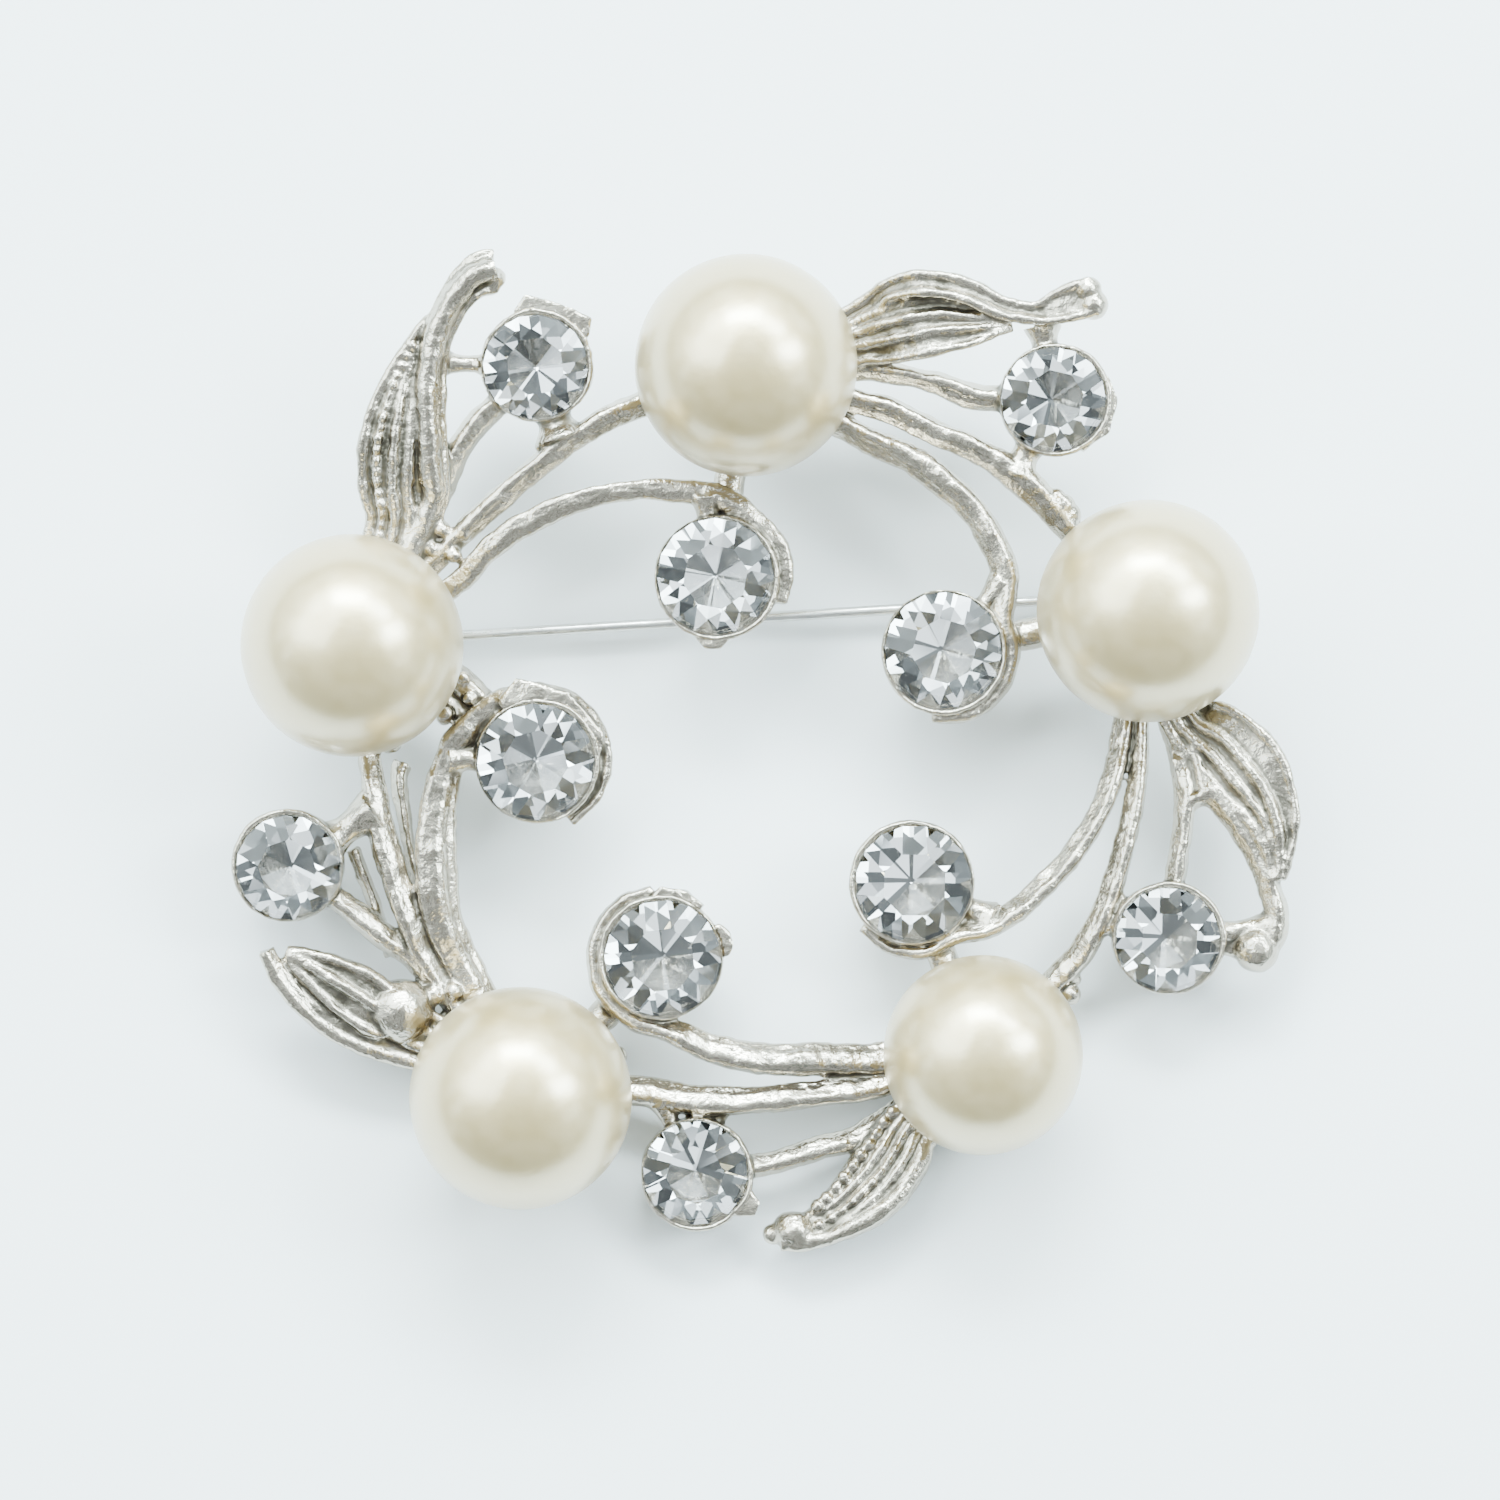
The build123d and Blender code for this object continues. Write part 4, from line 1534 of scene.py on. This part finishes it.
@dataclass
class Spray:
    """One cast spray: its cup, stems, leaf, links and two stone settings, all one skin of metal.

    A grip is how far in a strand starts, as a share of its cup's or setting's radius. Rises, drops, depths
    and margins are in millimetres, and the other sizes are shares of what they belong to.
    """

    plan: SprayPlan
    face: Face
    seed: float
    voxel: float = 0.1
    quick_share: float = 1.6
    sharp_angle: float = 50.0
    cup_grip: float = 0.55
    cup_sides: int = 48
    setting_grip: float = 0.62
    setting_foot: float = 0.72
    setting_sides: int = 64
    lean_share: float = 0.4
    core_below_rim: float = 0.2
    flap_depth: float = 0.9
    flap_height: float = 0.85
    wrap_out: float = 0.15
    wrap_step: float = 30.0
    strand_back: float = 0.8
    core_share: float = 0.47
    core_drop: float = 0.12
    middle_rise: float = 0.13
    outer_rise: float = 0.05
    leaf_rise: float = 0.3
    leaf_foot: float = 0.8
    rib_full: float = 0.6
    rib_reach: float = 0.95
    rib_taper: tuple[float, float] = (0.45, 0.1)
    bead_proud: float = 0.6
    bridge_lift: float = 1.24
    bridge_ends: tuple[float, float] = (0.7, 0.75)
    link_swell: tuple[float, float, float] = (1.35, 0.85, 1.5)
    seat_margin: float = 0.06
    lines: list[list[tuple[float, float, float, float]]] = field(default_factory=list)

    def build(self, trees: Trees, silver: bpy.types.Material) -> bpy.types.Mesh:
        """Build the metal.

        Args:
            trees: The trees that sweep strands, set lumps out and roughen the skin.
            silver: The metal's finish.

        Returns:
            The spray's mesh in the row frame.
        """
        self.lines.clear()
        self.stems()
        self.bars()
        bodies = self.bodies()
        strands = trees.strands.run(self.curve(), Material=silver, Back=self.strand_back, Seed=self.seed)
        bodies += [strands, trees.nubs.run(self.lumps(), Material=silver)]
        voxel = self.voxel * 1.0
        metal = trees.skin.run(skinned(joined("bodies", bodies), voxel, 1), Material=silver, Seed=self.seed)
        self.clear_seats(metal)
        rims = [SettingRim(*seat, self.seed).build() for seat in self.seats()]
        whole = joined("spray", [metal, *rims])
        whole.transform(self.face.to_row)
        whole.shade_smooth()
        whole.set_sharp_from_angle(angle=radians(self.sharp_angle))
        return whole

    def seats(self) -> list[tuple[StoneCut, Place, float]]:
        """Return each stone's cut and place, and the bearing on which its rim is thickest."""
        own = self.plan
        return [(INNER_CUT, own.inner_stone, own.inner_lean), (OUTER_CUT, own.outer_stone, own.outer_lean)]

    def from_cup(self, row: Row | LeafRow, rise: float = 0.0) -> Vector:
        """Return the point inside the pearl's cup that a stem to a row starts from."""
        own = face_point(PEARL_PLACES[self.plan.pearl])
        return toward(own, face_point(row), self.cup_grip * CUP_RADIUS) + upward(CUP_FLOOR + rise)

    def lift_row(self, row: Row) -> list[float]:
        """Return a row in millimetres, with its width as a share."""
        return [*face_point(row, row.lift), row.width]

    def wrap_rows(self) -> list[list[float]]:
        """Follow the inner stem's end round its setting.

        Returns:
            Its rows in millimetres, with their widths as shares.
        """
        wrap, last = self.plan.wrap, self.plan.inner[-1]
        centre = face_point(self.plan.inner_stone)
        reach = INNER_CUT.rim_radius + self.wrap_out * STEM_WIDTH
        steps = max(2, round(abs(wrap.last - wrap.first) / self.wrap_step))
        rows = []
        for i in range(steps + 1):
            share = i / steps
            turn = radians(wrap.first + (wrap.last - wrap.first) * share)
            spot = centre + polar(reach, turn, last.lift * BRANCH_RISE)
            rows.append([*spot, last.width * (1 - share) + wrap.width * share])
        return rows

    def stems(self) -> None:
        """Lay the strands of the three stems, the extra stems and the leaf's ribs."""
        plan = self.plan
        rises = (0.0, self.middle_rise, self.outer_rise)
        inner, middle, outer = (
            [[*self.from_cup(rows[0], rise), rows[0].width], *map(self.lift_row, rows)]
            for rows, rise in zip((plan.inner, plan.middle, plan.outer), rises)
        )
        inner += self.wrap_rows()
        following, last = face_point(PEARL_PLACES[plan.next_pearl]), plan.middle[-1]
        end = toward(following, face_point(last), self.cup_grip * CUP_RADIUS) + upward(CUP_FLOOR)
        middle.append([*end, last.width])
        last = plan.outer[-1]
        end = toward(face_point(plan.outer_stone), face_point(last), self.setting_grip * OUTER_CUT.rim_radius)
        outer.append([end.x, end.y, last.lift * BRANCH_RISE, last.width])
        wires = (plan.inner_wires, plan.middle_wires, plan.outer_wires)
        for rows, own_wires in zip((inner, middle, outer), wires):
            self.stem(rows, own_wires)
        for extra in plan.extra_stems:
            self.stem([self.lift_row(row) for row in extra], plan.outer_wires)
        for leaf in plan.leaves:
            for rib in leaf.ribs:
                self.lines.append([(*spot, radius) for spot, radius in self.rib_spots(leaf, rib)])

    def stem(self, rows: Sequence[Sequence[float]], wires: Sequence[Wire]) -> None:
        """Lay a stem's core and the wires on it.

        Args:
            rows: Its rows in millimetres, with their widths as shares.
            wires: The wires.
        """
        line = stations(rows)
        core = self.core_share * STEM_WIDTH
        self.lines.append([(*(s.point - s.up * self.core_drop), core * s.sizes[0]) for s in line])
        for wire in wires:
            strand = []
            for s in line:
                spot = s.point + s.left * (wire.side * s.sizes[0]) + s.up * wire.rise
                strand.append((*spot, wire.radius * s.sizes[0]))
            self.lines.append(strand)

    def leaf_line(self, leaf: LeafPlan) -> list[Station]:
        """Follow a leaf's midline from its cup to its tip.

        Args:
            leaf: The leaf.

        Returns:
            Its stations, with the width and the roll as sizes.
        """
        foot = leaf.rows[0]
        line = [[*self.from_cup(foot, self.leaf_rise), self.leaf_foot * foot.width * LEAF_WIDTH, foot.roll]]
        line += [[*face_point(row, row.lift), row.width * LEAF_WIDTH, row.roll] for row in leaf.rows]
        return stations(line)

    def rib_spots(self, leaf: LeafPlan, rib: Rib) -> list[tuple[Vector, float]]:
        """Follow a rib over its leaf.

        Args:
            leaf: The leaf.
            rib: The rib, which thins to its end, and more so if it ends short of the tip.

        Returns:
            Its points, each with the rib's radius there.
        """
        line = self.leaf_line(leaf)
        first, last = round(rib.start * (len(line) - 1)), round(rib.end * (len(line) - 1))
        thin = self.rib_taper[0 if rib.end < self.rib_reach else 1]
        spots = []
        for i in range(first, last + 1):
            share = (i - first) / (last - first)
            across = rib.across_start + (rib.across_end - rib.across_start) * share
            spot = leaf_spot(line[i], across, leaf.camber) + line[i].up * (leaf.thickness / 2)
            ending = max(0.0, share - self.rib_full) / (1 - self.rib_full)
            spots.append((spot, rib.radius * (1 - thin * ending)))
        return spots

    def bars(self) -> None:
        """Lay the short links and the bridge to the next pearl's cup."""
        plan = self.plan
        following, centre = face_point(PEARL_PLACES[plan.next_pearl]), face_point(plan.inner_stone)
        start = toward(centre, following, self.setting_grip * INNER_CUT.rim_radius)
        end = toward(following, centre, self.cup_grip * CUP_RADIUS)
        thick, wide = self.bridge_ends
        self.lines.append([(start.x, start.y, self.bridge_lift, thick), (end.x, end.y, CUP_FLOOR, wide)])
        links = [(link, INNER_CUT, plan.inner_stone) for link in plan.links]
        links += [(link, OUTER_CUT, plan.outer_stone) for link in plan.outer_links]
        for link, cut, place in links:
            start = face_point(link, link.lift)
            end = toward(face_point(place), start, self.setting_grip * cut.rim_radius)
            end.z = start.z
            radius = link.width * STEM_WIDTH / 2
            spots = zip((start, start.lerp(end, 0.5), end), self.link_swell)
            self.lines.append([(*spot, swell * radius) for spot, swell in spots])

    def curve(self) -> bpy.types.Curve:
        """Turn the laid strands into one curve.

        Returns:
            The curve, with a spline for each strand.
        """
        curve = bpy.data.curves.new("strands", "CURVE")
        curve.dimensions = "3D"
        for line in self.lines:
            spline = curve.splines.new("POLY")
            spline.points.add(len(line) - 1)
            for point, (x, y, z, radius) in zip(spline.points, line):
                point.co = (x, y, z, 1.0)
                point.radius = radius
        return curve

    def lumps(self) -> bpy.types.Mesh:
        """Set out the lumps and beads.

        Returns:
            A mesh with a point for each, and its size.
        """
        spots = [(face_point(nub, nub.lift), nub.radius) for nub in self.plan.nubs]
        for leaf in self.plan.leaves:
            for rib in leaf.ribs:
                if rib.beads:
                    spots += self.beads(leaf, rib)
        mesh = bpy.data.meshes.new("lumps")
        mesh.from_pydata([spot for spot, size in spots], [], [])
        sizes = mesh.attributes.new("size", "FLOAT", "POINT")
        sizes.data.foreach_set("value", [size for spot, size in spots])
        return mesh

    def beads(self, leaf: LeafPlan, rib: Rib) -> list[tuple[Vector, float]]:
        """Space beads evenly along a rib, standing a little proud of it.

        Args:
            leaf: The leaf.
            rib: The rib.

        Returns:
            The beads' centres and radii.
        """
        points = [spot for spot, radius in self.rib_spots(leaf, rib)]
        spots, left = [], 0.0
        for before, after in zip(points, points[1:]):
            span = (after - before).length
            while left < span:
                spot = before.lerp(after, left / span) + upward(self.bead_proud * rib.radius)
                spots.append((spot, rib.beads))
                left += leaf.bead_pitch
            left -= span
        return spots

    def bodies(self) -> list[bpy.types.Mesh]:
        """Build the plain bodies under the skin.

        Returns:
            The cup, the settings' cores, the flaps and the leaves' sheets.
        """
        plan = self.plan
        own = face_point(PEARL_PLACES[plan.pearl])
        cup = [(0, 0), (CUP_RADIUS, 0), (CUP_RADIUS, CUP_HEIGHT), (0, CUP_HEIGHT)]
        made = [lathe(cup, own, self.cup_sides)]
        for cut, place, lean in self.seats():
            foot, rim = self.setting_foot * cut.rim_radius, cut.rim_radius - SETTING_WALL / 2
            height = cut.rim_height - self.core_below_rim
            profile = [(0, 0), (foot, 0), (rim, height / 2), (rim, height), (0, height)]
            middle = face_point(place) + self.lean_share * SETTING_WALL * polar(1.0, radians(lean))
            made.append(lathe(profile, middle, self.setting_sides))
        flaps = [(flap, INNER_CUT, plan.inner_stone) for flap in plan.flaps]
        flaps += [(flap, OUTER_CUT, plan.outer_stone) for flap in plan.outer_flaps]
        for flap, cut, place in flaps:
            centre = face_point(place) + upward(cut.rim_height - self.flap_depth)
            corners = [centre + polar(corner.reach * cut.rim_radius, radians(corner.turn)) for corner in flap]
            made.append(prism([centre, *corners], self.flap_height))
        return made + [sheet(self.leaf_line(leaf), leaf.thickness, leaf.camber) for leaf in plan.leaves]

    def clear_seats(self, metal: bpy.types.Mesh) -> None:
        """Push the skin out of the room that the stones and the pearls need, and flatten its back.

        Args:
            metal: The skin, changed in place.
        """
        points = np.empty(len(metal.vertices) * 3)
        metal.vertices.foreach_get("co", points)
        points = points.reshape(-1, 3)
        for cut, place, _ in self.seats():
            centre = np.array(face_point(place))
            away = np.hypot(points[:, 0] - centre[0], points[:, 1] - centre[1])
            floor = cut.floor_at(away)
            inside = (away < cut.radius + STONE_GAP + self.seat_margin) & (points[:, 2] > floor)
            points[inside, 2] = floor[inside]
        for number in (self.plan.pearl, self.plan.next_pearl):
            radius = next(plan.pearl_size for plan in SPRAYS if plan.pearl == number) / 2
            centre = np.array(face_point(PEARL_PLACES[number])) + (0.0, 0.0, CUP_FLOOR + PEARL_GAP + radius)
            away = points - centre
            distance = np.linalg.norm(away, axis=1)
            inside = distance < radius + PEARL_GAP
            points[inside] = centre + away[inside] * ((radius + PEARL_GAP) / distance[inside])[:, None]
        points[:, 2] = np.maximum(points[:, 2], 0.0)
        metal.vertices.foreach_set("co", points.ravel())
        metal.update()


@dataclass
class SettingRim:
    """The thin bright rim of a setting, nowhere quite even."""

    cut: StoneCut
    place: Place
    lean: float
    seed: float
    sides: int = 96
    wave_scale: float = 0.9
    fine_scale: float = 3.5
    thinnest: float = 0.2
    level_share: float = 0.8
    lean_rise: float = 0.16
    wave_wall: float = 0.05
    wave_rise: float = 0.08
    fine_size: float = 0.04
    inner_rise: float = 0.3

    def profile(self) -> list[tuple[float, float]]:
        """Draw the rim's section, up its outside and over its top.

        Returns:
            The radius and height of each ring.
        """
        inner, outer, top = self.cut.radius + STONE_GAP, self.cut.rim_radius, self.cut.rim_height
        outside = [(0.02, 0.8), (0.0, 0.12), (0.05, 0.03), (0.11, 0.0)]
        inside = [(0.03, 0.02), (0.0, 0.08)]
        rings = [(outer - inward, top - below) for inward, below in outside]
        return [(inner, top - 0.75), *rings, *((inner + out, top - below) for out, below in inside)]

    def build(self) -> bpy.types.Mesh:
        """Build the rim.

        Returns:
            A closed ring, thickest and highest on the bearing that it leans to.
        """
        inner, centre = self.cut.radius + STONE_GAP, face_point(self.place)
        ring = lathe(self.profile(), centre, self.sides)
        for vertex in ring.vertices:
            away = vertex.co - centre
            wave = noise.noise(away * self.wave_scale + Vector((self.seed, self.cut.diameter, 0.0)))
            fine = self.fine_size * noise.noise(away * self.fine_scale + Vector((0.0, self.seed, 5.0)))
            outward = max(0.0, (away.xy.length - inner) / SETTING_WALL)
            thick = 0.5 * (1 + cos(atan2(away.y, away.x) - radians(self.lean)))
            wall = SETTING_WALL * (self.thinnest + thick) + self.wave_wall * wave + fine
            push = (inner + outward * wall) / (inner + outward * SETTING_WALL)
            rise = self.lean_rise * (thick - self.level_share) + self.wave_rise * wave + fine
            height = away.z + rise * min(1.0, outward + self.inner_rise)
            vertex.co = centre + Vector((away.x * push, away.y * push, height))
        return ring


@dataclass
class BackFittings:
    """The hinge bracket and the catch behind the wreath, cast with its frame."""

    face: Face
    frame: bpy.types.Object
    cut_height: float = -0.02
    merge_distance: float = 1e-7
    sharp_angle: float = 35.0

    def build(self) -> bpy.types.Mesh:
        """Cut the fittings off the frame at the wreath's back.

        Returns:
            Their mesh in the row frame.
        """
        body = bmesh.new()
        body.from_mesh(self.frame.data)
        bmesh.ops.remove_doubles(body, verts=body.verts, dist=self.merge_distance)
        up = (self.face.to_row.to_3x3() @ upward(1.0)).normalized()
        back = self.face.spot(upward(self.cut_height))
        everything = body.verts[:] + body.edges[:] + body.faces[:]
        bmesh.ops.bisect_plane(body, geom=everything, plane_co=back, plane_no=up, clear_outer=True)
        open_edges = [edge for edge in body.edges if edge.is_boundary]
        bmesh.ops.holes_fill(body, edges=open_edges, sides=0)
        mesh = settled(body, bpy.data.meshes.new("back_fittings"))
        mesh.shade_smooth()
        mesh.set_sharp_from_angle(angle=radians(self.sharp_angle))
        return mesh


@dataclass
class CutStone:
    """A chaton of clear glass over a silvered back: a table, eight main facets and eight between them."""

    cut: StoneCut
    face: Face
    turn: float = 0.0
    tilt: float = 2.2
    ridge_share: float = 0.92
    mains: int = 8

    def ring(self, count: int, size: float, height: float, shift: float) -> list[Vector]:
        """Return a level ring of corners, turned on by a share of a step."""
        return [polar(size, (i + shift) * 2 * pi / count + self.turn, height) for i in range(count)]

    def build(self, place: Place) -> bpy.types.Mesh:
        """Cut the stone.

        Args:
            place: Where it sits.

        Returns:
            Its mesh in the row frame, crown faces first in the glass and the rest in the foil.
        """
        cut, radius, mains = self.cut, self.cut.radius, self.mains
        slope = (cut.low - cut.tip) / (radius * cos(pi / (2 * mains)))
        ridge = self.ridge_share * radius
        rings = (
            self.ring(mains, cut.table_share * radius, cut.top, 0.0),
            self.ring(2 * mains, radius, cut.high, 0.5),
            self.ring(2 * mains, radius, cut.low, 0.5),
            self.ring(mains, ridge, cut.tip + ridge * cos(pi / mains) * slope, 0.5),
            self.ring(1, 0.0, cut.tip, 0.0),
        )
        points, numbers = [], []
        for ring in rings:
            numbers.append(range(len(points), len(points) + len(ring)))
            points += ring
        flat, high, low, ridges, (tip,) = numbers
        crown, back = [flat], []
        for i in range(mains):
            ahead, before = (i + 1) % mains, 2 * i - 1
            crown.append([flat[i], high[before], high[2 * i]])
            crown.append([flat[i], high[2 * i], high[2 * i + 1], flat[ahead]])
            back.append([tip, ridges[i - 1], low[before], low[2 * i], ridges[i]])
            back.append([ridges[i], low[2 * i], low[2 * i + 1]])
        for i in range(2 * mains):
            ahead = (i + 1) % (2 * mains)
            back.append([high[i], low[i], low[ahead], high[ahead]])
        mesh = mesh_of("stone", points, crown + back)
        for polygon in mesh.polygons:
            polygon.material_index = 0 if polygon.index < len(crown) else 1
        level = Matrix.Rotation(radians(self.tilt), 4, polar(1.0, self.turn))
        middle = Matrix.Translation(face_point(place) + upward(cut.high))
        mesh.transform(self.face.to_row @ (middle @ level @ Matrix.Translation(upward(-cut.high))))
        return mesh


@dataclass
class PearlBead:
    """A drilled lacquer pearl, very slightly out of round."""

    face: Face
    rings: int = 56
    sides: int = 96
    hole_radius: float = 0.5
    hole_depth: float = 3.85
    hole_margin: float = 1.05
    unevenness: float = 0.006
    wave_scale: float = 0.33
    seed_step: float = 7.0

    def build(self, number: int, diameter: float) -> bpy.types.Mesh:
        """Turn a pearl.

        Args:
            number: Which pearl.
            diameter: Its diameter in millimetres.

        Returns:
            Its mesh in the row frame.
        """
        radius = diameter / 2
        foot = sqrt(radius * radius - self.hole_radius**2)
        lowest = atan2(-foot, self.hole_radius)
        hole_end = self.hole_depth - radius - PEARL_GAP
        profile = [(0.0, hole_end), (self.hole_radius, hole_end)]
        for i in range(self.rings + 1):
            turn = lowest + (pi / 2 - lowest) * i / self.rings
            profile.append((radius * cos(turn) if i < self.rings else 0.0, radius * sin(turn)))
        ball = lathe(profile, Vector(), self.sides)
        for vertex in ball.vertices:
            if vertex.co.xy.length < self.hole_margin * self.hole_radius and vertex.co.z < 0:
                continue
            wave = noise.noise(vertex.co * self.wave_scale + Vector((self.seed_step * number, 0.0, 0.0)))
            vertex.co *= 1 - self.unevenness * abs(wave)
        centre = face_point(PEARL_PLACES[number]) + upward(CUP_FLOOR + PEARL_GAP + radius)
        ball.transform(self.face.to_row @ Matrix.Translation(centre))
        ball.shade_smooth()
        return ball


@dataclass(frozen=True)
class Lamp:
    """A soft oblong light: where it stands from the wreath's centre, its sides, its power and its colour."""

    name: str
    azimuth: float
    elevation: float
    width: float
    height: float
    power: float
    colour: Triple = (0.83, 1.0, 1.03)
    distance: float = 0.60

    def hang(self, target: Vector) -> None:
        """Hang the lamp.

        Args:
            target: The point that it shines on.
        """
        data = bpy.data.lights.new(self.name, "AREA")
        data.shape = "RECTANGLE"
        data.size, data.size_y = self.width, self.height
        data.energy = self.power
        data.color = self.colour
        lamp = placed(self.name, data)
        height = radians(self.elevation)
        away = polar(cos(height), radians(self.azimuth), sin(height))
        lamp.location = target + away * self.distance
        lamp.rotation_euler = (-away).to_track_quat("-Z", "Y").to_euler()
        lamp.visible_camera = False


@dataclass
class Studio:
    """The pale table, the soft light and the camera."""

    face: Face
    camera_height: float = 300.0
    camera_shift_pixels: float = 5.0
    pixels_per_mm: float = 22.0
    object_depth: float = 1.5
    frame_pixels: float = 1500.0
    table_side: float = 3.0
    lamp_aim: float = 2.0
    sky_strength: float = 5.6
    cloud_scale: float = 8.0
    cloud_edge: tuple[float, float] = (0.51, 0.55)
    cloud_range: tuple[float, float] = (0.13, 2.0)
    dark_way: Triple = (-0.05, -0.76, 0.65)
    haze_top: float = 0.5
    haze_floor: float = 0.14
    sky_stops: tuple[tuple[float, Triple], ...] = (
        (0.30, (0.84, 1.0, 1.02)),
        (0.55, (0.46, 0.54, 0.56)),
        (0.82, (0.15, 0.17, 0.175)),
    )
    lamps: tuple[Lamp, ...] = (
        Lamp("top_box", 92.0, 46.0, 0.34, 0.13, 9.6),
        Lamp("corner_box", 50.0, 47.0, 0.24, 0.13, 3.2),
        Lamp("right_box", 12.0, 44.0, 0.16, 0.24, 4.2),
        Lamp("left_tent", 150.0, 52.0, 0.50, 0.42, 5.0, (0.84, 1.0, 1.02)),
    )

    def build(self) -> None:
        """Set up the table, the lamps, the sky and the camera."""
        table = bpy.data.meshes.new("table")
        half = self.table_side / 2
        corners = [(-half, -half, 0), (half, -half, 0), (half, half, 0), (-half, half, 0)]
        table.from_pydata(corners, [], [(0, 1, 2, 3)])
        stage = piece("table", table, [PaleTable().material()])
        target = self.face.spot(upward(self.lamp_aim))
        for lamp in self.lamps:
            lamp.hang(target)
        self.sky()
        self.camera()

    def sky(self) -> None:
        """Light the world: bright clouds low down and a dark patch overhead."""
        world = bpy.data.worlds.new("sky")
        world.use_nodes = True
        bpy.context.scene.world = world
        board = Board(world.node_tree)
        way = board.add("ShaderNodeTexCoord", {}, "Generated")
        dark = {0: way, 1: self.dark_way}
        along = board.add("ShaderNodeVectorMath", dark, "Value", operation="DOT_PRODUCT")
        tone = board.add("ShaderNodeValToRGB", {0: along})
        elements = tone.socket.node.color_ramp.elements
        while len(elements) < len(self.sky_stops):
            elements.new(0.5)
        for element, (position, colour) in zip(elements, self.sky_stops):
            element.position = position
            element.color = (*colour, 1.0)
        cloud = board.add("ShaderNodeTexNoise", {"Vector": way, "Scale": self.cloud_scale, "Detail": 1.0})
        edges = {"Value": cloud, "From Min": self.cloud_edge[0], "From Max": self.cloud_edge[1]}
        edges |= {"To Min": self.cloud_range[0], "To Max": self.cloud_range[1]}
        share = board.add("ShaderNodeMapRange", edges, interpolation_type="SMOOTHSTEP")
        lift = board.add("ShaderNodeSeparateXYZ", {0: way}, 2)
        haze_range = {"Value": lift, "From Max": self.haze_top, "To Min": self.haze_floor}
        haze = board.add("ShaderNodeMapRange", haze_range)
        shaded = board.add("ShaderNodeVectorMath", {0: tone, "Scale": share * haze}, operation="SCALE")
        light = board.add("ShaderNodeBackground", {"Color": shaded, "Strength": self.sky_strength})
        board.end("ShaderNodeOutputWorld", light)

    def camera(self) -> None:
        """Set the camera over the face, as far and as long as the real view was."""
        data = bpy.data.cameras.new("camera")
        width_px = self.pixels_per_mm * (self.camera_height - self.object_depth)
        data.lens = data.sensor_width * width_px / self.frame_pixels
        data.clip_start, data.clip_end = 0.01, 10.0
        camera = placed("camera", data)
        shift = self.camera_shift_pixels / self.pixels_per_mm
        place = self.face.spot(Vector((0.0, shift, self.camera_height)))
        camera.matrix_world = Matrix.Translation(place) @ self.face.turned()
        bpy.context.scene.camera = camera


def dress_wire(finish: bpy.types.Material, *nodes: bpy.types.Object) -> None:
    """Give solids that are kept as they are a finish.

    Args:
        finish: The material.
        nodes: The solids' objects.
    """
    for node in nodes:
        for slot in node.material_slots:
            slot.material = finish
        log.info("%s keeps its solid, in %s", node.name, finish.name)


def register(made: bpy.types.Object, slot: str, *nodes: str) -> None:
    """Make a piece ride on the brooch and stand for its nodes.

    Args:
        made: The piece.
        slot: What it is made of; not used.
        nodes: The solids that it stands for.
    """
    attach(made, "brooch")
    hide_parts(*nodes)
    log.info("%s: %d faces, for %s", made.name, len(made.data.polygons), ", ".join(nodes))


def main(nodes: dict[str, bpy.types.Object]) -> None:
    """Build the brooch, piece by piece, and the studio round it.

    Args:
        nodes: The objects of the frame's solids by name.
    """
    logging.basicConfig(level=logging.INFO, format="%(name)s: %(message)s")
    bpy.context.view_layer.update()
    face = Face.from_pearls()
    finishes = Finishes.make()
    trees = Trees(StrandTree(), NubTree(), SkinTree())
    for plan in SPRAYS:
        mesh = Spray(plan, face, seed=float(plan.pearl)).build(trees, finishes.silver)
        register(piece(f"spray_{plan.pearl}", mesh, [finishes.silver]), "cast_metal", "wreath_frame")
        bead = PearlBead(face).build(plan.pearl, plan.pearl_size)
        register(piece(f"pearl_bead_{plan.pearl}", bead, [finishes.nacre]), "pearl", f"pearl_{plan.pearl}")
        for side, cut, place, turn in (
            (Side.INNER, INNER_CUT, plan.inner_stone, plan.inner_turn),
            (Side.OUTER, OUTER_CUT, plan.outer_stone, plan.outer_turn),
        ):
            stone = CutStone(cut, face, radians(turn)).build(place)
            made = piece(f"{side.value}_crystal_{plan.pearl}", stone, [finishes.glass, finishes.foil])
            register(made, "crystal", f"{side.value}_stone_{plan.pearl}")
    fittings = BackFittings(face, nodes["wreath_frame"]).build()
    register(piece("back_fittings", fittings, [finishes.silver]), "cast_metal", "wreath_frame")
    dress_wire(finishes.wire, nodes["pin_stem"], nodes["hinge_rivet"])
    Studio(face).build()


if __name__ == "__main__":
    main(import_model()["nodes"])
